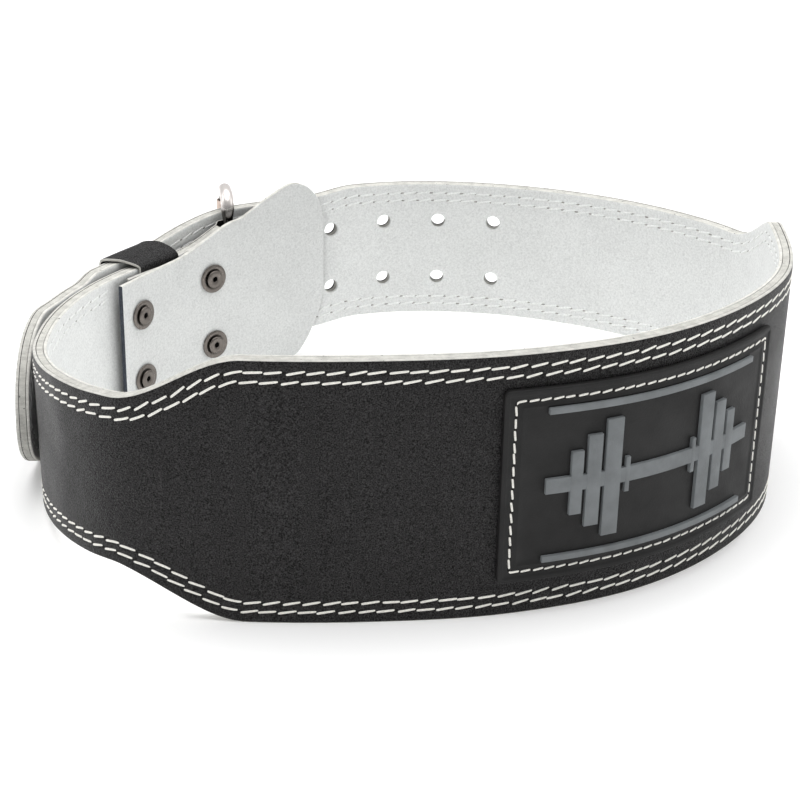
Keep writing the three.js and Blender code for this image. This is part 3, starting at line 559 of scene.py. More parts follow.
def boolean(target, part, operation, sharp):
    """Cuts a part out of an object, or joins it on, and leaves a plain mesh."""
    mesh = mesh_of("cutter", part)
    cutter = linked("cutter", mesh)
    modifier = target.modifiers.new("cut", "BOOLEAN")
    modifier.object, modifier.operation, modifier.solver = cutter, operation, "EXACT"
    result = bpy.data.meshes.new_from_object(target.evaluated_get(bpy.context.evaluated_depsgraph_get()))
    target.modifiers.clear()
    old, name = target.data, target.data.name
    target.data = result
    bpy.data.meshes.remove(old)
    result.name = name
    shade(result, sharp)
    bpy.data.objects.remove(cutter)
    bpy.data.meshes.remove(mesh)


def section_rows(inner, outer, rounded_inner, rounded_outer):
    """A ply's section as rows of inset, share and set out, going up its outer face and down its inner.

    The share goes from 0 at the low edge to 1 at the high edge, and insets are from the nearer edge.
    """
    def face(out, way, rounded):
        rows = [(e * MM, out - way * dip * MM) for e, dip in (FACE_ROWS if rounded else PLAIN_ROWS)]
        shares = FACE_SHARES if rounded else (0.25, 0.5, 0.75)
        return ([(e, 0, o) for e, o in rows] + [(rows[-1][0], share, out) for share in shares]
                + [(e, 1, o) for e, o in rows[::-1]])
    return face(outer, 1, rounded_outer) + face(inner, -1, rounded_inner)[::-1]


def core_rows(inner, outer):
    """The core's section: plain faces, and edges of thin layers pressed together."""
    layer = (outer - inner) / CORE_LAYERS
    deep, shallow = 0.14 * MM, 0.03 * MM
    wall = [(deep, inner + 0.02 * layer)]
    for i in range(CORE_LAYERS):
        wall += [(e, inner + (i + share) * layer)
                 for e, share in ((shallow, 0.22), (0.0, 0.5), (shallow, 0.78), (deep, 0.98))]
    shares = (0, 0.25, 0.5, 0.75, 1)
    face = PLAIN_ROWS[-1][0] * MM
    return ([(e, 0, o) for e, o in wall] + [(face, share, outer) for share in shares]
            + [(e, 1, o) for e, o in wall[::-1]] + [(face, share, inner) for share in shares[::-1]])


def strip_rings(belt, rows):
    """Rings of points of a ply along the whole strip, from its section's rows."""
    distance = belt.strip_stations()
    depth, share, out = np.array(rows).T
    low, high = belt.edges(distance)
    sides = [np.stack(belt.inset(distance, edge, side, depth), -1) for edge, side in ((low, 1), (high, -1))]
    settle = ramp(distance, belt.start, belt.start + SETTLE_LENGTH)[:, None]
    for edge in sides:
        edge[..., 0] = distance[:, None] + (edge[..., 0] - distance[:, None]) * settle
    flat = sides[0] + (sides[1] - sides[0]) * share[None, :, None]
    return belt.place(flat[..., 0], belt.strip_out(flat[..., 0]) + out, flat[..., 1])


def edge_faces(part, corners, edges):
    """Each face's finish in a swept part: 1 on its two ends and on the listed sides of its rings, else 0."""
    face = np.arange(len(part[1]))
    return (face >= len(face) - 2) | np.isin(face % corners, edges)


def strap_cutters(belt):
    """Cutters of the fastening holes, a little wider at both faces, and of the rivet shanks."""
    half, radius, flare = belt.half, belt.holes.width / 2, 0.28 * MM
    side = [(radius + 3 * flare, half + MM), (radius + flare, half), (radius + flare * 0.3, half - 0.15 * MM),
            (radius, half - 0.5 * MM)]
    hole = [(0, -half - MM)] + [(r, -out) for r, out in side] + side[::-1] + [(0, half + MM)]
    parts = []
    for distance in belt.hole_places:
        middle, out = sum(belt.edges(distance)) / 2, belt.strip_out(distance)
        for z in (middle - belt.holes.rows / 2, middle + belt.holes.rows / 2):
            parts.append(moved(turned(hole, 40), belt.outward_frame(distance, out, z)))
    return parts + shank_cutters(belt, -2 * belt.thickness, belt.half + MM, lambda d: 0.0)


def shank_cutters(belt, low, high, out_at):
    """Cutters of the rivet shanks between two depths."""
    shank = belt.rivet.shank + belt.strip.fit_gap
    bore = turned([(0, low), (shank, low), (shank, high), (0, high)], 20)
    return [moved(bore, belt.outward_frame(d, out_at(d), z)) for d, z in belt.rivets]


# Materials


def node_in(tree, kind, inputs, output=0, **settings):
    """A new shader node's output. Its inputs are given as values or as other nodes' outputs."""
    node = tree.nodes.new("ShaderNode" + kind)
    for key, value in settings.items():
        setattr(node, key, value)
    for key, given in inputs.items():
        if isinstance(given, bpy.types.NodeSocket):
            tree.links.new(given, node.inputs[key])
        else:
            node.inputs[key].default_value = given
    return node.outputs[output]


class Finish:
    """A material with its shader, and short calls for the nodes that pattern it."""

    def __init__(self, name, colour, roughness, metallic=0.0, specular=0.5):
        self.material = bpy.data.materials.new(f"belt_{name}")
        self.material.use_nodes = True
        self.tree = self.material.node_tree
        self.shader = self.tree.nodes["Principled BSDF"]
        self.set(Base_Color=(*colour, 1), Roughness=roughness, Metallic=metallic, Specular_IOR_Level=specular)
        self.place = self.node("TexCoord", {}, "Object")

    def set(self, **values):
        """Values of the shader's own sockets."""
        for key, value in values.items():
            self.shader.inputs[key.replace("_", " ")].default_value = value

    def link(self, output, socket):
        self.tree.links.new(output, self.shader.inputs[socket])

    def node(self, kind, inputs, output=0, **settings):
        return node_in(self.tree, kind, inputs, output, **settings)

    def noise(self, scale, detail=3.0, roughness=0.55, place=None):
        inputs = {"Scale": scale, "Detail": detail, "Roughness": roughness, "Vector": place or self.place}
        return self.node("TexNoise", inputs, "Fac")

    def cells(self, scale, feature="F1", **more):
        return self.node("TexVoronoi", {"Scale": scale, "Vector": self.place, **more}, "Distance", feature=feature)

    def stretched(self, *scale):
        return self.node("Mapping", {"Scale": scale, "Vector": self.place}, "Vector")

    def sum(self, first, second, share):
        """The first plus a share of the second."""
        return self.node("Math", {0: second, 1: share, 2: first}, operation="MULTIPLY_ADD")

    def spread(self, source, low, high, to_low=0.0, to_high=1.0):
        return self.node("MapRange", {0: source, 1: low, 2: high, 3: to_low, 4: to_high})

    def shades(self, source, colour, dark, pale, low=0.35, high=0.65):
        """Colour between a dark and a pale tint as a pattern goes from low to high."""
        fac = self.node("ValToRGB", {0: source})
        for element, at, tint in zip(fac.node.color_ramp.elements, (low, high), (dark, pale)):
            element.position, element.color = at, (*tinted(colour, tint), 1)
        return fac

    def blend(self, share, first, second):
        first, second = ((*given, 1) if isinstance(given, tuple) else given for given in (first, second))
        return self.node("Mix", {0: share, 6: first, 7: second}, 2, data_type="RGBA")

    def bump(self, height, distance, strength):
        self.link(self.node("Bump", {"Strength": strength, "Distance": distance, "Height": height}, "Normal"),
                  "Normal")


def tinted(colour, factor):
    return tuple(min(1.0, c * factor) for c in colour)


def leather_finish(name, colour):
    """Smooth black leather: a fine grain of pale specks, faint creases and a soft gloss that varies."""
    f = Finish(name, colour, 0.5, specular=0.2)
    grain = f.noise(2100, 2.0, 0.6)
    f.bump(f.sum(f.cells(1900, "SMOOTH_F1", Smoothness=0.3), f.noise(240, 4.0), 0.6), 0.0003, 0.7)
    specks = f.shades(grain, colour, 0.3, 3.0, 0.36, 0.7)
    clouds = f.shades(f.noise(55, 5.0, 0.6), colour, 0.72, 1.35)
    f.link(f.blend(0.6, clouds, specks), "Base Color")
    f.link(f.spread(f.noise(38, 4.0), 0.3, 0.7, 0.42, 0.54), "Roughness")
    f.link(f.spread(grain, 0.36, 0.7, 0.06, 0.5), "Specular IOR Level")
    return f.material


def suede_finish(name, colour, depth=1.0):
    """Suede: a short nap with faint cloudy mottling and fine dark flecks."""
    f = Finish(name, colour, 0.95, specular=0.2)
    clouds = f.shades(f.noise(46, 5.0, 0.62), colour, 0.93, 1.05, 0.34, 0.66)
    nap = f.shades(f.noise(1100, 3.0, 0.7), colour, 0.72, 1.14, 0.3, 0.62)
    f.link(f.blend(f.spread(f.noise(600, 2.0), 0.35, 0.65, 0.4, 0.7), clouds, nap), "Base Color")
    f.bump(f.sum(f.noise(1300, 3.0, 0.7), f.noise(320, 3.0), 0.8), 0.0003 * depth, 0.5)
    f.set(Sheen_Weight=0.18, Sheen_Roughness=0.5)
    return f.material


def cut_finish(name, colour, layered=False):
    """Cut edge of leather: pale fibres with a few dark specks and, where it is layered, lines between the layers."""
    f = Finish(name, colour, 0.85, specular=0.25)
    fibres = f.shades(f.noise(800, 4.0, 0.7, f.stretched(0.3, 0.3, 1.0)), colour, 0.78, 1.1, 0.32, 0.62)
    shade = f.blend(f.spread(f.noise(620, 2.0, 0.5), 0.69, 0.74), fibres, tinted(colour, 0.3))
    if layered:
        layer = f.node("Attribute", {}, "Fac", attribute_name="layer")
        lined = f.spread(f.node("Math", {0: layer, 1: 1.0}, operation="PINGPONG"), 0.0, 0.3, 1.0, 0.0)
        tone_share = f.spread(f.noise(170, 4.0), 0.35, 0.6, 0.1, 0.75)
        shade = f.blend(f.node("Math", {0: lined, 1: tone_share}, operation="MULTIPLY"), shade, tinted(colour, 0.45))
    f.link(shade, "Base Color")
    f.bump(f.noise(1300, 3.0), 0.0002, 0.6)
    return f.material


def steel_finish(name, colour, roughness):
    """Plated metal with a faint unevenness and hairline wear."""
    f = Finish(name, colour, roughness, metallic=1.0)
    f.link(f.spread(f.noise(420, 4.0), 0.3, 0.7, roughness * 0.75, roughness * 1.5), "Roughness")
    f.link(f.shades(f.noise(120, 4.0), colour, 0.9, 1.05), "Base Color")
    f.bump(f.noise(300, 3.0), 0.00006, 0.35)
    return f.material


def bow_finish(name, colour, painted_reflection_below):
    """Plated wire, worn to a dark bronze under a height where it dips between the straps."""
    f = Finish(name, colour, 0.3, metallic=1.0)
    edge = f.sum(f.node("SeparateXYZ", {0: f.place}, "Z"), f.noise(300, 2.0), 0.002)
    # Painted reflection: 0 below the height and 1 above it, with a noisy edge; it darkens the colour and smooths the
    # wire below.
    tone_share = f.spread(edge, painted_reflection_below - 0.0008, painted_reflection_below + 0.0022)
    f.link(f.blend(tone_share, tinted(colour, 0.13), f.shades(f.noise(120, 4.0), colour, 0.92, 1)), "Base Color")
    f.link(f.spread(tone_share, 0.0, 1.0, 0.16, 0.34), "Roughness")
    f.bump(f.noise(300, 3.0), 0.00005, 0.3)
    return f.material


def rubber_finish(name, colour, roughness):
    """Moulded rubber with a fine matt texture."""
    f = Finish(name, colour, roughness, specular=0.35)
    f.link(f.shades(f.noise(90, 4.0), colour, 0.85, 1.15), "Base Color")
    f.link(f.spread(f.noise(60, 3.0), 0.3, 0.7, roughness - 0.08, roughness + 0.08), "Roughness")
    f.bump(f.sum(f.noise(1800, 2.0), f.cells(1100), 0.5), 0.00015, 0.5)
    return f.material


def thread_finish(name, colour):
    """Waxed thread with the twist of its plies."""
    f = Finish(name, colour, 0.7, specular=0.3)
    twist = f.noise(1400, 2.0, 0.5, f.stretched(1.0, 1.0, 2.2))
    f.link(f.shades(twist, colour, 0.84, 1.04), "Base Color")
    f.bump(twist, 0.0002, 0.6)
    return f.material


def plain_finish(name, colour, roughness=0.9):
    """A small dark or pale surface with a fine mottling."""
    f = Finish(name, colour, roughness, specular=0.2)
    f.link(f.shades(f.noise(800, 3.0), colour, 0.75, 1.2), "Base Color")
    f.bump(f.noise(1500, 2.0), 0.0001, 0.4)
    return f.material


# Each finish's maker, its colour or the name of a colour setting, a tint of that and what else the maker takes
FINISHES = {
    "black_leather": (leather_finish, "leather", 1),
    "lining_suede": (suede_finish, "suede", 1),
    "shield_suede": (suede_finish, "suede", 0.9, 0.8),
    "cream_core": (cut_finish, "core", 1, True),
    "suede_edge": (cut_finish, "core", 1.06),
    "leather_edge": (cut_finish, "core", 0.92),
    "dyed_edge": (plain_finish, "dyed_edge", 1, 0.6),
    # The needle-hole and rivet-hole finishes are painted shade: dark colour standing in for the shade inside needle
    # holes and inside the rivets' hollow centres.
    "needle_hole": (plain_finish, (0.012, 0.011, 0.01), 1),
    "rivet_hole": (plain_finish, (0.008, 0.007, 0.007), 1),
    "pale_hole": (plain_finish, (0.36, 0.35, 0.33), 1),
    "thread": (thread_finish, "thread", 1),
    "pale_thread": (thread_finish, "suede", 1.2),
    "plated_steel": (steel_finish, "steel", 1, 0.2),
    # The bow's finish paints a reflection of the dark leather onto the wire below 82.5 mm.
    "bow_steel": (bow_finish, "steel", 1, 82.5 * MM),
    "roller_steel": (steel_finish, "roller", 1, 0.3),
    "gunmetal": (steel_finish, "gunmetal", 1, 0.3),
    "dark_rubber": (rubber_finish, "rubber", 1, 0.62),
    "grey_rubber": (rubber_finish, "relief", 1, 0.58),
}


def finish_named(name, colours):
    """A finish by its name, made once and then shared."""
    maker, colour, tint, *more = FINISHES[name]
    colour = getattr(colours, colour) if isinstance(colour, str) else colour
    return bpy.data.materials.get(f"belt_{name}") or maker(name, tinted(colour, tint), *more)


# Pieces


def make_leather(belt):
    """The black ply: back along the lining, round the heel bar, then along the whole strip."""
    s, b, heel = belt.strip, belt.buckle, belt.heel_distance
    ply, fold = s.leather_ply, belt.fold_radius
    inner, outer = belt.half - ply, belt.half
    rows = section_rows(inner, outer, False, True)
    depth, share, out = np.array(rows).T
    through = ((out - inner) / ply)[:, None]
    chape_high = float(belt.edges(heel)[1])

    def ring(inside, outside, low=b.chape_low, high=chape_high):
        z = low + depth + (high - low - 2 * depth) * share
        return np.concatenate(((inside + (outside - inside) * through)[:, :2], z[:, None]), 1)

    def ring_at(d, inside, outside, *edges):
        return ring(belt.place(d, inside, 0.0), belt.place(d, outside, 0.0), *edges)

    seat = belt.half + belt.keeper.ply + 2 * s.fit_gap + ply / 2
    opening = heel + 11 * MM
    rings = []
    for d in np.concatenate((steps(heel + b.chape_return, opening, 4 * MM), steps(opening, heel, 1.6 * MM)[1:])):
        middle = -seat + (belt.heel_out - fold + seat) * (1 - ramp(d, heel, heel + 9 * MM))
        opened = ramp(d, heel + 3 * MM, opening)
        rings.append(ring_at(d, middle + ply / 2, middle - ply / 2, b.chape_low + (RETURN_LOW - b.chape_low) * opened,
                             chape_high + (RETURN_HIGH - chape_high) * opened))
    _, way, outward = belt.on_loop(heel)
    for angle in np.radians(np.arange(170, 0, -10)):
        away = np.array((*(outward * math.cos(angle) - way * math.sin(angle)), 0))
        rings.append(ring(belt.heel + away * (fold - ply / 2), belt.heel + away * (fold + ply / 2)))
    rings += [ring_at(d, inner, outer) for d in (heel, belt.start - MM)]
    part = swept(np.concatenate((np.array(rings), strip_rings(belt, rows))))
    last = 2 * len(FACE_ROWS) + len(FACE_SHARES) - 1
    pale = edge_faces(part, len(rows), (len(rows) - 1, 0, 1, last - 2, last - 1, last))
    tall, wide = b.prong_radius + 1.6 * MM, 2 * fold
    angle = round_angles(32)
    oval = [np.stack((np.clip(np.cos(angle) * 9, -1, 1) * wide, np.full(32, y), np.sin(angle) * tall), -1)
            for y in (-1.5 * fold, 1.5 * fold)]
    turn = Matrix.Rotation(math.atan2(way[1], way[0]), 4, "Z")
    slots = [moved(swept(np.stack(oval)), Matrix.Translation(Vector(belt.place(heel - fold, belt.heel_out, z))) @ turn)
             for z in belt.prong_heights]
    piece(belt, "strip_leather", part, ("black_leather", "leather_edge"), "outer_leather", "black_leather",
          cuts=strap_cutters(belt) + slots, finish_of=pale)


def make_core(belt):
    """The cream core, whose layered edge shows all along the strip."""
    s = belt.strip
    inner = -belt.half + s.lining_ply + s.ply_gap
    rows = core_rows(inner, inner + s.core_ply)
    rings = strip_rings(belt, rows)
    layer = (np.array(rows)[:, 2] - inner) / s.core_ply * CORE_LAYERS * 2
    piece(belt, "strip_core", swept(rings), ("cream_core",), "core", "cream_core", cuts=strap_cutters(belt),
          values={"layer": np.broadcast_to(layer, rings.shape[:2])})


def make_lining(belt):
    """The suede lining inside the strip."""
    rows = section_rows(-belt.half, -belt.half + belt.strip.lining_ply, True, False)
    part = swept(strip_rings(belt, rows))
    corners, turn = len(rows), len(rows) - 2 * len(FACE_ROWS) - len(FACE_SHARES) - 1
    pale = edge_faces(part, corners, (turn, turn + 1, turn + 2, corners - 3, corners - 2, corners - 1))
    piece(belt, "strip_lining", part, ("lining_suede", "suede_edge"), "suede_lining", "pale_suede",
          cuts=strap_cutters(belt), finish_of=pale)


def make_shield(belt):
    """The guard behind the buckle: suede inside, black grain outside and a dyed riveted end."""
    sizes = belt.shield
    start = belt.heel_distance - sizes.past_heel
    stop = start + sizes.length
    # Section up the inner face: share of the height, inset from that edge in millimetres and set out
    wall = [(0, 0, -0.05), (0, 0, -0.5), (0, 0.06, -0.82), (0, 0.25, -0.97), (0, 0.6, -1)]
    up = wall + [(m, 0, -1) for m in np.linspace(0, 1, 12)[1:-1]] + [(1, -e, out) for _, e, out in wall[::-1]]
    share, inset, set_out = np.array(up + [(m, e, -out) for m, e, out in up[::-1]]).T
    rings = []
    for at in np.concatenate((np.linspace(0, 0.13, 22), np.linspace(0.13, 1, 60)[1:])):
        d = start + at * sizes.length
        low, high = (along(SHIELD_FORM, column, at) * sizes.height for column in (1, 2))
        rings.append(belt.place(d, belt.shield_out(d) + set_out * sizes.ply / 2,
                                low + (high - low) * share + inset * MM))
    dyed_end = belt.place(stop, belt.shield_out(stop), 0.0)

    def choose(polygon):
        """Suede inside, grain outside, the dyed end, and pale cut edges above and below."""
        centre, normal = np.array(polygon.center), np.array(polygon.normal)
        point = centre[:2] - CENTRE_SHIFT
        nearest = np.argmin(((belt.points - point) ** 2).sum(1))
        way, at = belt.directions[nearest], belt.run[nearest]
        outward = np.array((way[1], -way[0]))
        facing, out = normal[:2] @ outward, (point - belt.points[nearest]) @ outward
        at -= belt.length if at > belt.length / 2 else 0
        if normal[:2] @ way > 0.6 and np.hypot(*(centre - dyed_end)[:2]) < 4 * MM:
            return 2
        if abs(normal[2]) > 0.6:
            return 3
        return int(facing > 0.4 or (abs(facing) <= 0.4 and out > belt.shield_out(at)))

    piece(belt, "buckle_shield_dressed", swept(np.array(rings)),
          ("shield_suede", "black_leather", "dyed_edge", "suede_edge"), "buckle_shield", "pale_suede", choose=choose,
          cuts=shank_cutters(belt, -3 * sizes.ply, 3 * sizes.ply, belt.shield_out))


def make_keeper(belt):
    """The keeper's band, swept along its form, with a pale cut edge on both sides."""
    k, s = belt.keeper, belt.strip
    between = belt.half + s.fit_gap + k.ply / 2
    outside = between + belt.strip_out(belt.heel_distance + k.outer_past + belt.length)
    foot = s.fit_gap + k.ply / 2
    out, up, leg = (column[:, None] for column in open_curve(KEEPER_FORM, 6).T)
    past = np.interp(leg, (0, 1, 2), (k.between_past, k.outer_past, k.inner_past))
    width = np.interp(leg, (0, 1, 2), (k.between_width, k.outer_width, k.inner_width))
    side = np.array([-0.5, -0.5, -0.492, -0.475, -0.4, -0.2, 0, 0.2, 0.4, 0.475, 0.492, 0.5, 0.5])
    face = np.array([0.1, 0.3, 0.44, 0.5, 0.5, 0.5, 0.5, 0.5, 0.5, 0.5, 0.44, 0.3, 0.1])
    last = len(side) - 1
    side, face = np.concatenate((side, side[::-1])), np.concatenate((face, -face[::-1])) * k.ply
    distance = belt.heel_distance + past + side * width
    crown = belt.edges(distance + belt.length)[1] + 2 * s.fit_gap + k.ply / 2
    z = np.where(up < 1, foot + (s.strap_height - foot) * up, s.strap_height + (crown - s.strap_height) * (up - 1))
    away = between + np.where(out < 0, 2 * between, outside - between) * out + np.zeros_like(z)
    way = unit(np.stack((np.gradient(away, axis=0), np.gradient(z, axis=0)), -1))
    part = swept(belt.place(distance, away - way[..., 1] * face, z + way[..., 0] * face))
    pale = edge_faces(part, len(side), (2 * last + 1, 0, 2 * last, 2 * last - 1, last - 1, last, last + 1, last + 2))
    piece(belt, "keeper_dressed", part, ("black_leather", "leather_edge"), "keeper_loop", "black_leather",
          finish_of=pale)


def make_frame(belt):
    """The wire frame: a closed ring of two upright bars joined by rounded corners."""
    b = belt.buckle
    corner = b.frame_corner
    top, foot = b.frame_top - b.wire_radius - corner, b.frame_foot + b.wire_radius + corner
    far = belt.frame_span - corner
    bends = [[(across + corner * math.cos(a), z + corner * math.sin(a), a)
              for a in np.radians(np.linspace(begin, begin + 90, 15))]
             for across, z, begin in ((far, top, 0), (corner, top, 90), (corner, foot, 180), (far, foot, 270))]
    heel_bar = [(0, z, math.pi) for z in steps(top, foot, 4 * MM)[1:-1]]
    across, z, turn = np.array(bends[0] + bends[1] + heel_bar + bends[2] + bends[3]).T
    angle = round_angles(32)
    fold = belt.edges(belt.heel_distance)[1]
    over = np.where(across < corner, ramp(z, fold + MM, fold + 5 * MM), 0)
    radius = (b.wire_radius + b.bow_swell * np.maximum(np.sin(turn) ** 2, over))[:, None]
    swell = radius * np.cos(angle)
    reach = across[:, None] + swell * np.cos(turn)[:, None]
    rings = (belt.heel + reach[..., None] * belt.frame_reach
             + (radius * np.sin(angle))[..., None] * belt.frame_face)
    rings[..., 2] = z[:, None] + swell * np.sin(turn)[:, None]
    # Its finish paints a dark reflection onto the wire where it dips between the straps.
    piece(belt, "buckle_frame_dressed", swept(rings, closed=True), ("bow_steel",), "buckle_frame", "plated_steel", 60)


def make_roller(belt):
    """The roller: a rolled tube on the outer bar."""
    b = belt.buckle
    low = b.frame_foot + b.wire_radius + b.frame_corner + b.turn_gap
    high = b.frame_top - b.wire_radius - b.frame_corner - b.turn_gap
    inner, outer, lip = b.roller_radius - b.roller_wall, b.roller_radius, 0.25 * MM
    profile = [(inner, low + lip), (inner + lip, low), (outer - lip, low), (outer, low + lip), (outer, high - lip),
               (outer - lip, high), (inner + lip, high), (inner, high - lip)]
    upright = Matrix.Translation(Vector(belt.roller)) @ Matrix.Rotation(math.pi / 2, 4, "X")
    piece(belt, "roller_dressed", moved(turned(profile, 64), upright), ("roller_steel",), "buckle_roller",
          "plated_steel")


def make_prongs(belt):
    """The two prongs: an eye round the heel bar and a round bar with a blunt tip."""
    b = belt.buckle
    wall, radius, length = b.prong_eye_wall / 2, b.prong_radius, belt.prong_length
    middle = b.wire_radius + b.turn_gap + wall
    eye = [(middle + wall * math.cos(a), radius * math.sin(a)) for a in round_angles(20)]
    tip = ((1, 1.9), (0.93, 1.2), (0.78, 0.6), (0.5, 0.15), (0.2, 0), (0, 0))
    bar = ([(0, middle), (radius * 0.96, middle), (radius, middle + MM)]
           + [(radius * share, length - back * MM) for share, back in tip])
    lean = Matrix.Rotation(math.atan2(-belt.prong_reach[0], belt.prong_reach[1]), 4, "Z")
    upright = Matrix.Rotation(math.pi / 2, 4, "X")
    for name, z in zip(("prong_lower", "prong_upper"), belt.prong_heights):
        at = Matrix.Translation(Vector((belt.heel[0], belt.heel[1], z)))
        piece(belt, name + "_dressed", moved(turned(eye, 40), at @ upright), ("plated_steel",), name, "plated_steel",
              50, add=moved(turned(bar, 32), at @ lean))


def make_rivets(belt):
    """Rivets with a domed head outside, and inside a washer with a collar rolled over it."""
    r, gap = belt.rivet, belt.strip.fit_gap
    bore, wide, ply = r.shank + gap, r.washer_radius, r.washer_ply
    eye = r.shank * 0.6
    roll = (r.collar - eye) / 2
    rim = ((0.5, 0, 0), (0.1, 0.08, 0), (0, 0.3, 0), (0.12, 0, 0.75), (0.5, 0, 1), (1.5, 0, 1), (2, 0, 0.9),
           (2.4, 0, 0.55))
    washer = ([(bore, 0)] + [(wide - e * MM, -down * MM - ply * share) for e, down, share in rim]
              + [(r.collar * 0.9, -ply * 0.5), (bore, -ply * 0.5)])
    for i, (distance, z) in enumerate(belt.rivets, 1):
        seat = belt.washer_seat(distance)
        piece(belt, f"washer_{i}_dressed", moved(turned(washer), belt.outward_frame(distance, seat, z)),
              ("gunmetal",), f"washer_{i}", "gunmetal")
        foot, head = seat - ply - gap, belt.half + gap
        curl = [(eye + roll - roll * math.cos(a), foot - 0.35 * MM - 0.65 * MM * math.sin(a))
                for a in np.radians(np.arange(0, 181, 15))]
        dome = [(e, head + high * r.head_high) for e, high in
                ((r.head - 0.2 * MM, 0.5), (r.head - 1.2 * MM, 0.88), (r.head * 0.5, 1), (0, 1))]
        profile = ([(0, foot + 1.2 * MM), (eye * 0.9, foot + 1.1 * MM), (eye, foot + 0.7 * MM)] + curl
                   + [(r.collar - 0.2 * MM, foot), (r.shank, foot), (r.shank, head), (r.head - 0.15 * MM, head),
                      (r.head, head + 0.2 * MM)] + dome)
        part = moved(turned(profile), belt.outward_frame(distance, 0.0, z))
        # The shallow hollow in the collar's middle, the profile's first three spans, is painted near black: painted
        # shade of the rivet's open centre.
        piece(belt, f"rivet_{i}_dressed", part, ("gunmetal", "rivet_hole"), f"rivet_{i}", "gunmetal",
              finish_of=np.arange(len(part[1])) % len(profile) < 3)


def rounded_outline(length, height, corner, pitch):
    """Points of a rectangle with round corners about the origin, and its outward normals."""
    rows = []
    for x, y, begin in ((1, 1, 0), (-1, 1, 90), (-1, -1, 180), (1, -1, 270)):
        for a in np.radians(np.linspace(begin, begin + 90, 9)):
            normal = np.array((math.cos(a), math.sin(a)))
            rows.append((np.array((x * (length / 2 - corner), y * (height / 2 - corner))) + corner * normal, normal))
    full = []
    for here, after in zip(rows, rows[1:] + rows[:1]):
        count = max(1, round(np.linalg.norm(after[0] - here[0]) / pitch))
        full += [[a + (b - a) * k / count for a, b in zip(here, after)] for k in range(count)]
    return np.array(full).transpose(1, 0, 2)


def make_patch(belt):
    """The label patch: a slab with a rim and a sunk seam, bent along the panel."""
    p = belt.patch
    inner, corner = belt.half + belt.strip.fit_gap, p.corner * PATCH_SHARPNESS
    reach = np.array((p.length, p.height)) / 2
    points, normals = rounded_outline(p.length, p.height, corner, 3 * MM)

    def ring(inset, out):
        flat = points - normals * inset if inset < corner else np.clip(points, inset - reach, reach - inset)
        return belt.place(PATCH_AT * belt.length + flat[:, 0], out, p.middle + flat[:, 1])

    rings = [ring(PATCH_FACE[-1][0] * MM, inner), ring(0.0, inner)]
    rings += [ring(inset * MM, inner + p.ply + rise * MM) for inset, rise in PATCH_FACE]
    piece(belt, "patch_dressed", swept(np.array(rings)), ("dark_rubber",), "label_patch", "dark_rubber", 50)


def raised_bar(belt, length, height, along_middle, z, high, edge=0.35 * MM):
    """A low bar with rounded edges, bent along the patch."""
    base = belt.half + belt.strip.fit_gap + belt.patch.ply - RELIEF_SUNK
    near = [(0, 0), (0, high - edge), (edge * 0.3, high - edge * 0.3), (edge, high)]
    section = near + [(height - y, h) for y, h in near[::-1]]
    rings = []
    start, stop = along_middle - length / 2, along_middle + length / 2
    for d, shrink in ((start, 1), (start + edge * 0.3, 0.3),
                      *((d, 0) for d in steps(start + edge, stop - edge, 4 * MM)), (stop - edge * 0.3, 0.3), (stop, 1)):
        least = shrink * edge * 0.6
        y, h = np.array([(min(max(y, least), height - least), min(h, high - shrink * edge)) for y, h in section]).T
        rings.append(belt.place(PATCH_AT * belt.length + d, base + h, z - height / 2 + y))
    return swept(np.array(rings))


def make_emblem(belt):
    """The raised figure on the patch: a barbell between two rules."""
    p = belt.patch
    high = p.relief_ply + RELIEF_SUNK + belt.strip.fit_gap
    bars = []
    for begin, end, tall in BARBELL_FORM:
        for side in (-1, 1) if begin else (0,):
            length = (end - begin) * p.barbell_length / 2 if begin else p.barbell_length
            bars.append(raised_bar(belt, length, tall * p.barbell_height, side * (begin + end) * p.barbell_length / 4,
                                   p.middle, high if begin else high - 0.12 * MM))
    piece(belt, "emblem_barbell_dressed", joined(bars), ("grey_rubber",), "emblem_barbell", "grey_rubber")
    for name, side in (("emblem_rule_lower", -1), ("emblem_rule_upper", 1)):
        bar = raised_bar(belt, p.rule_length, p.rule_height, 0, p.middle + side * p.rule_rise, high)
        piece(belt, name + "_dressed", bar, ("grey_rubber",), name, "grey_rubber")


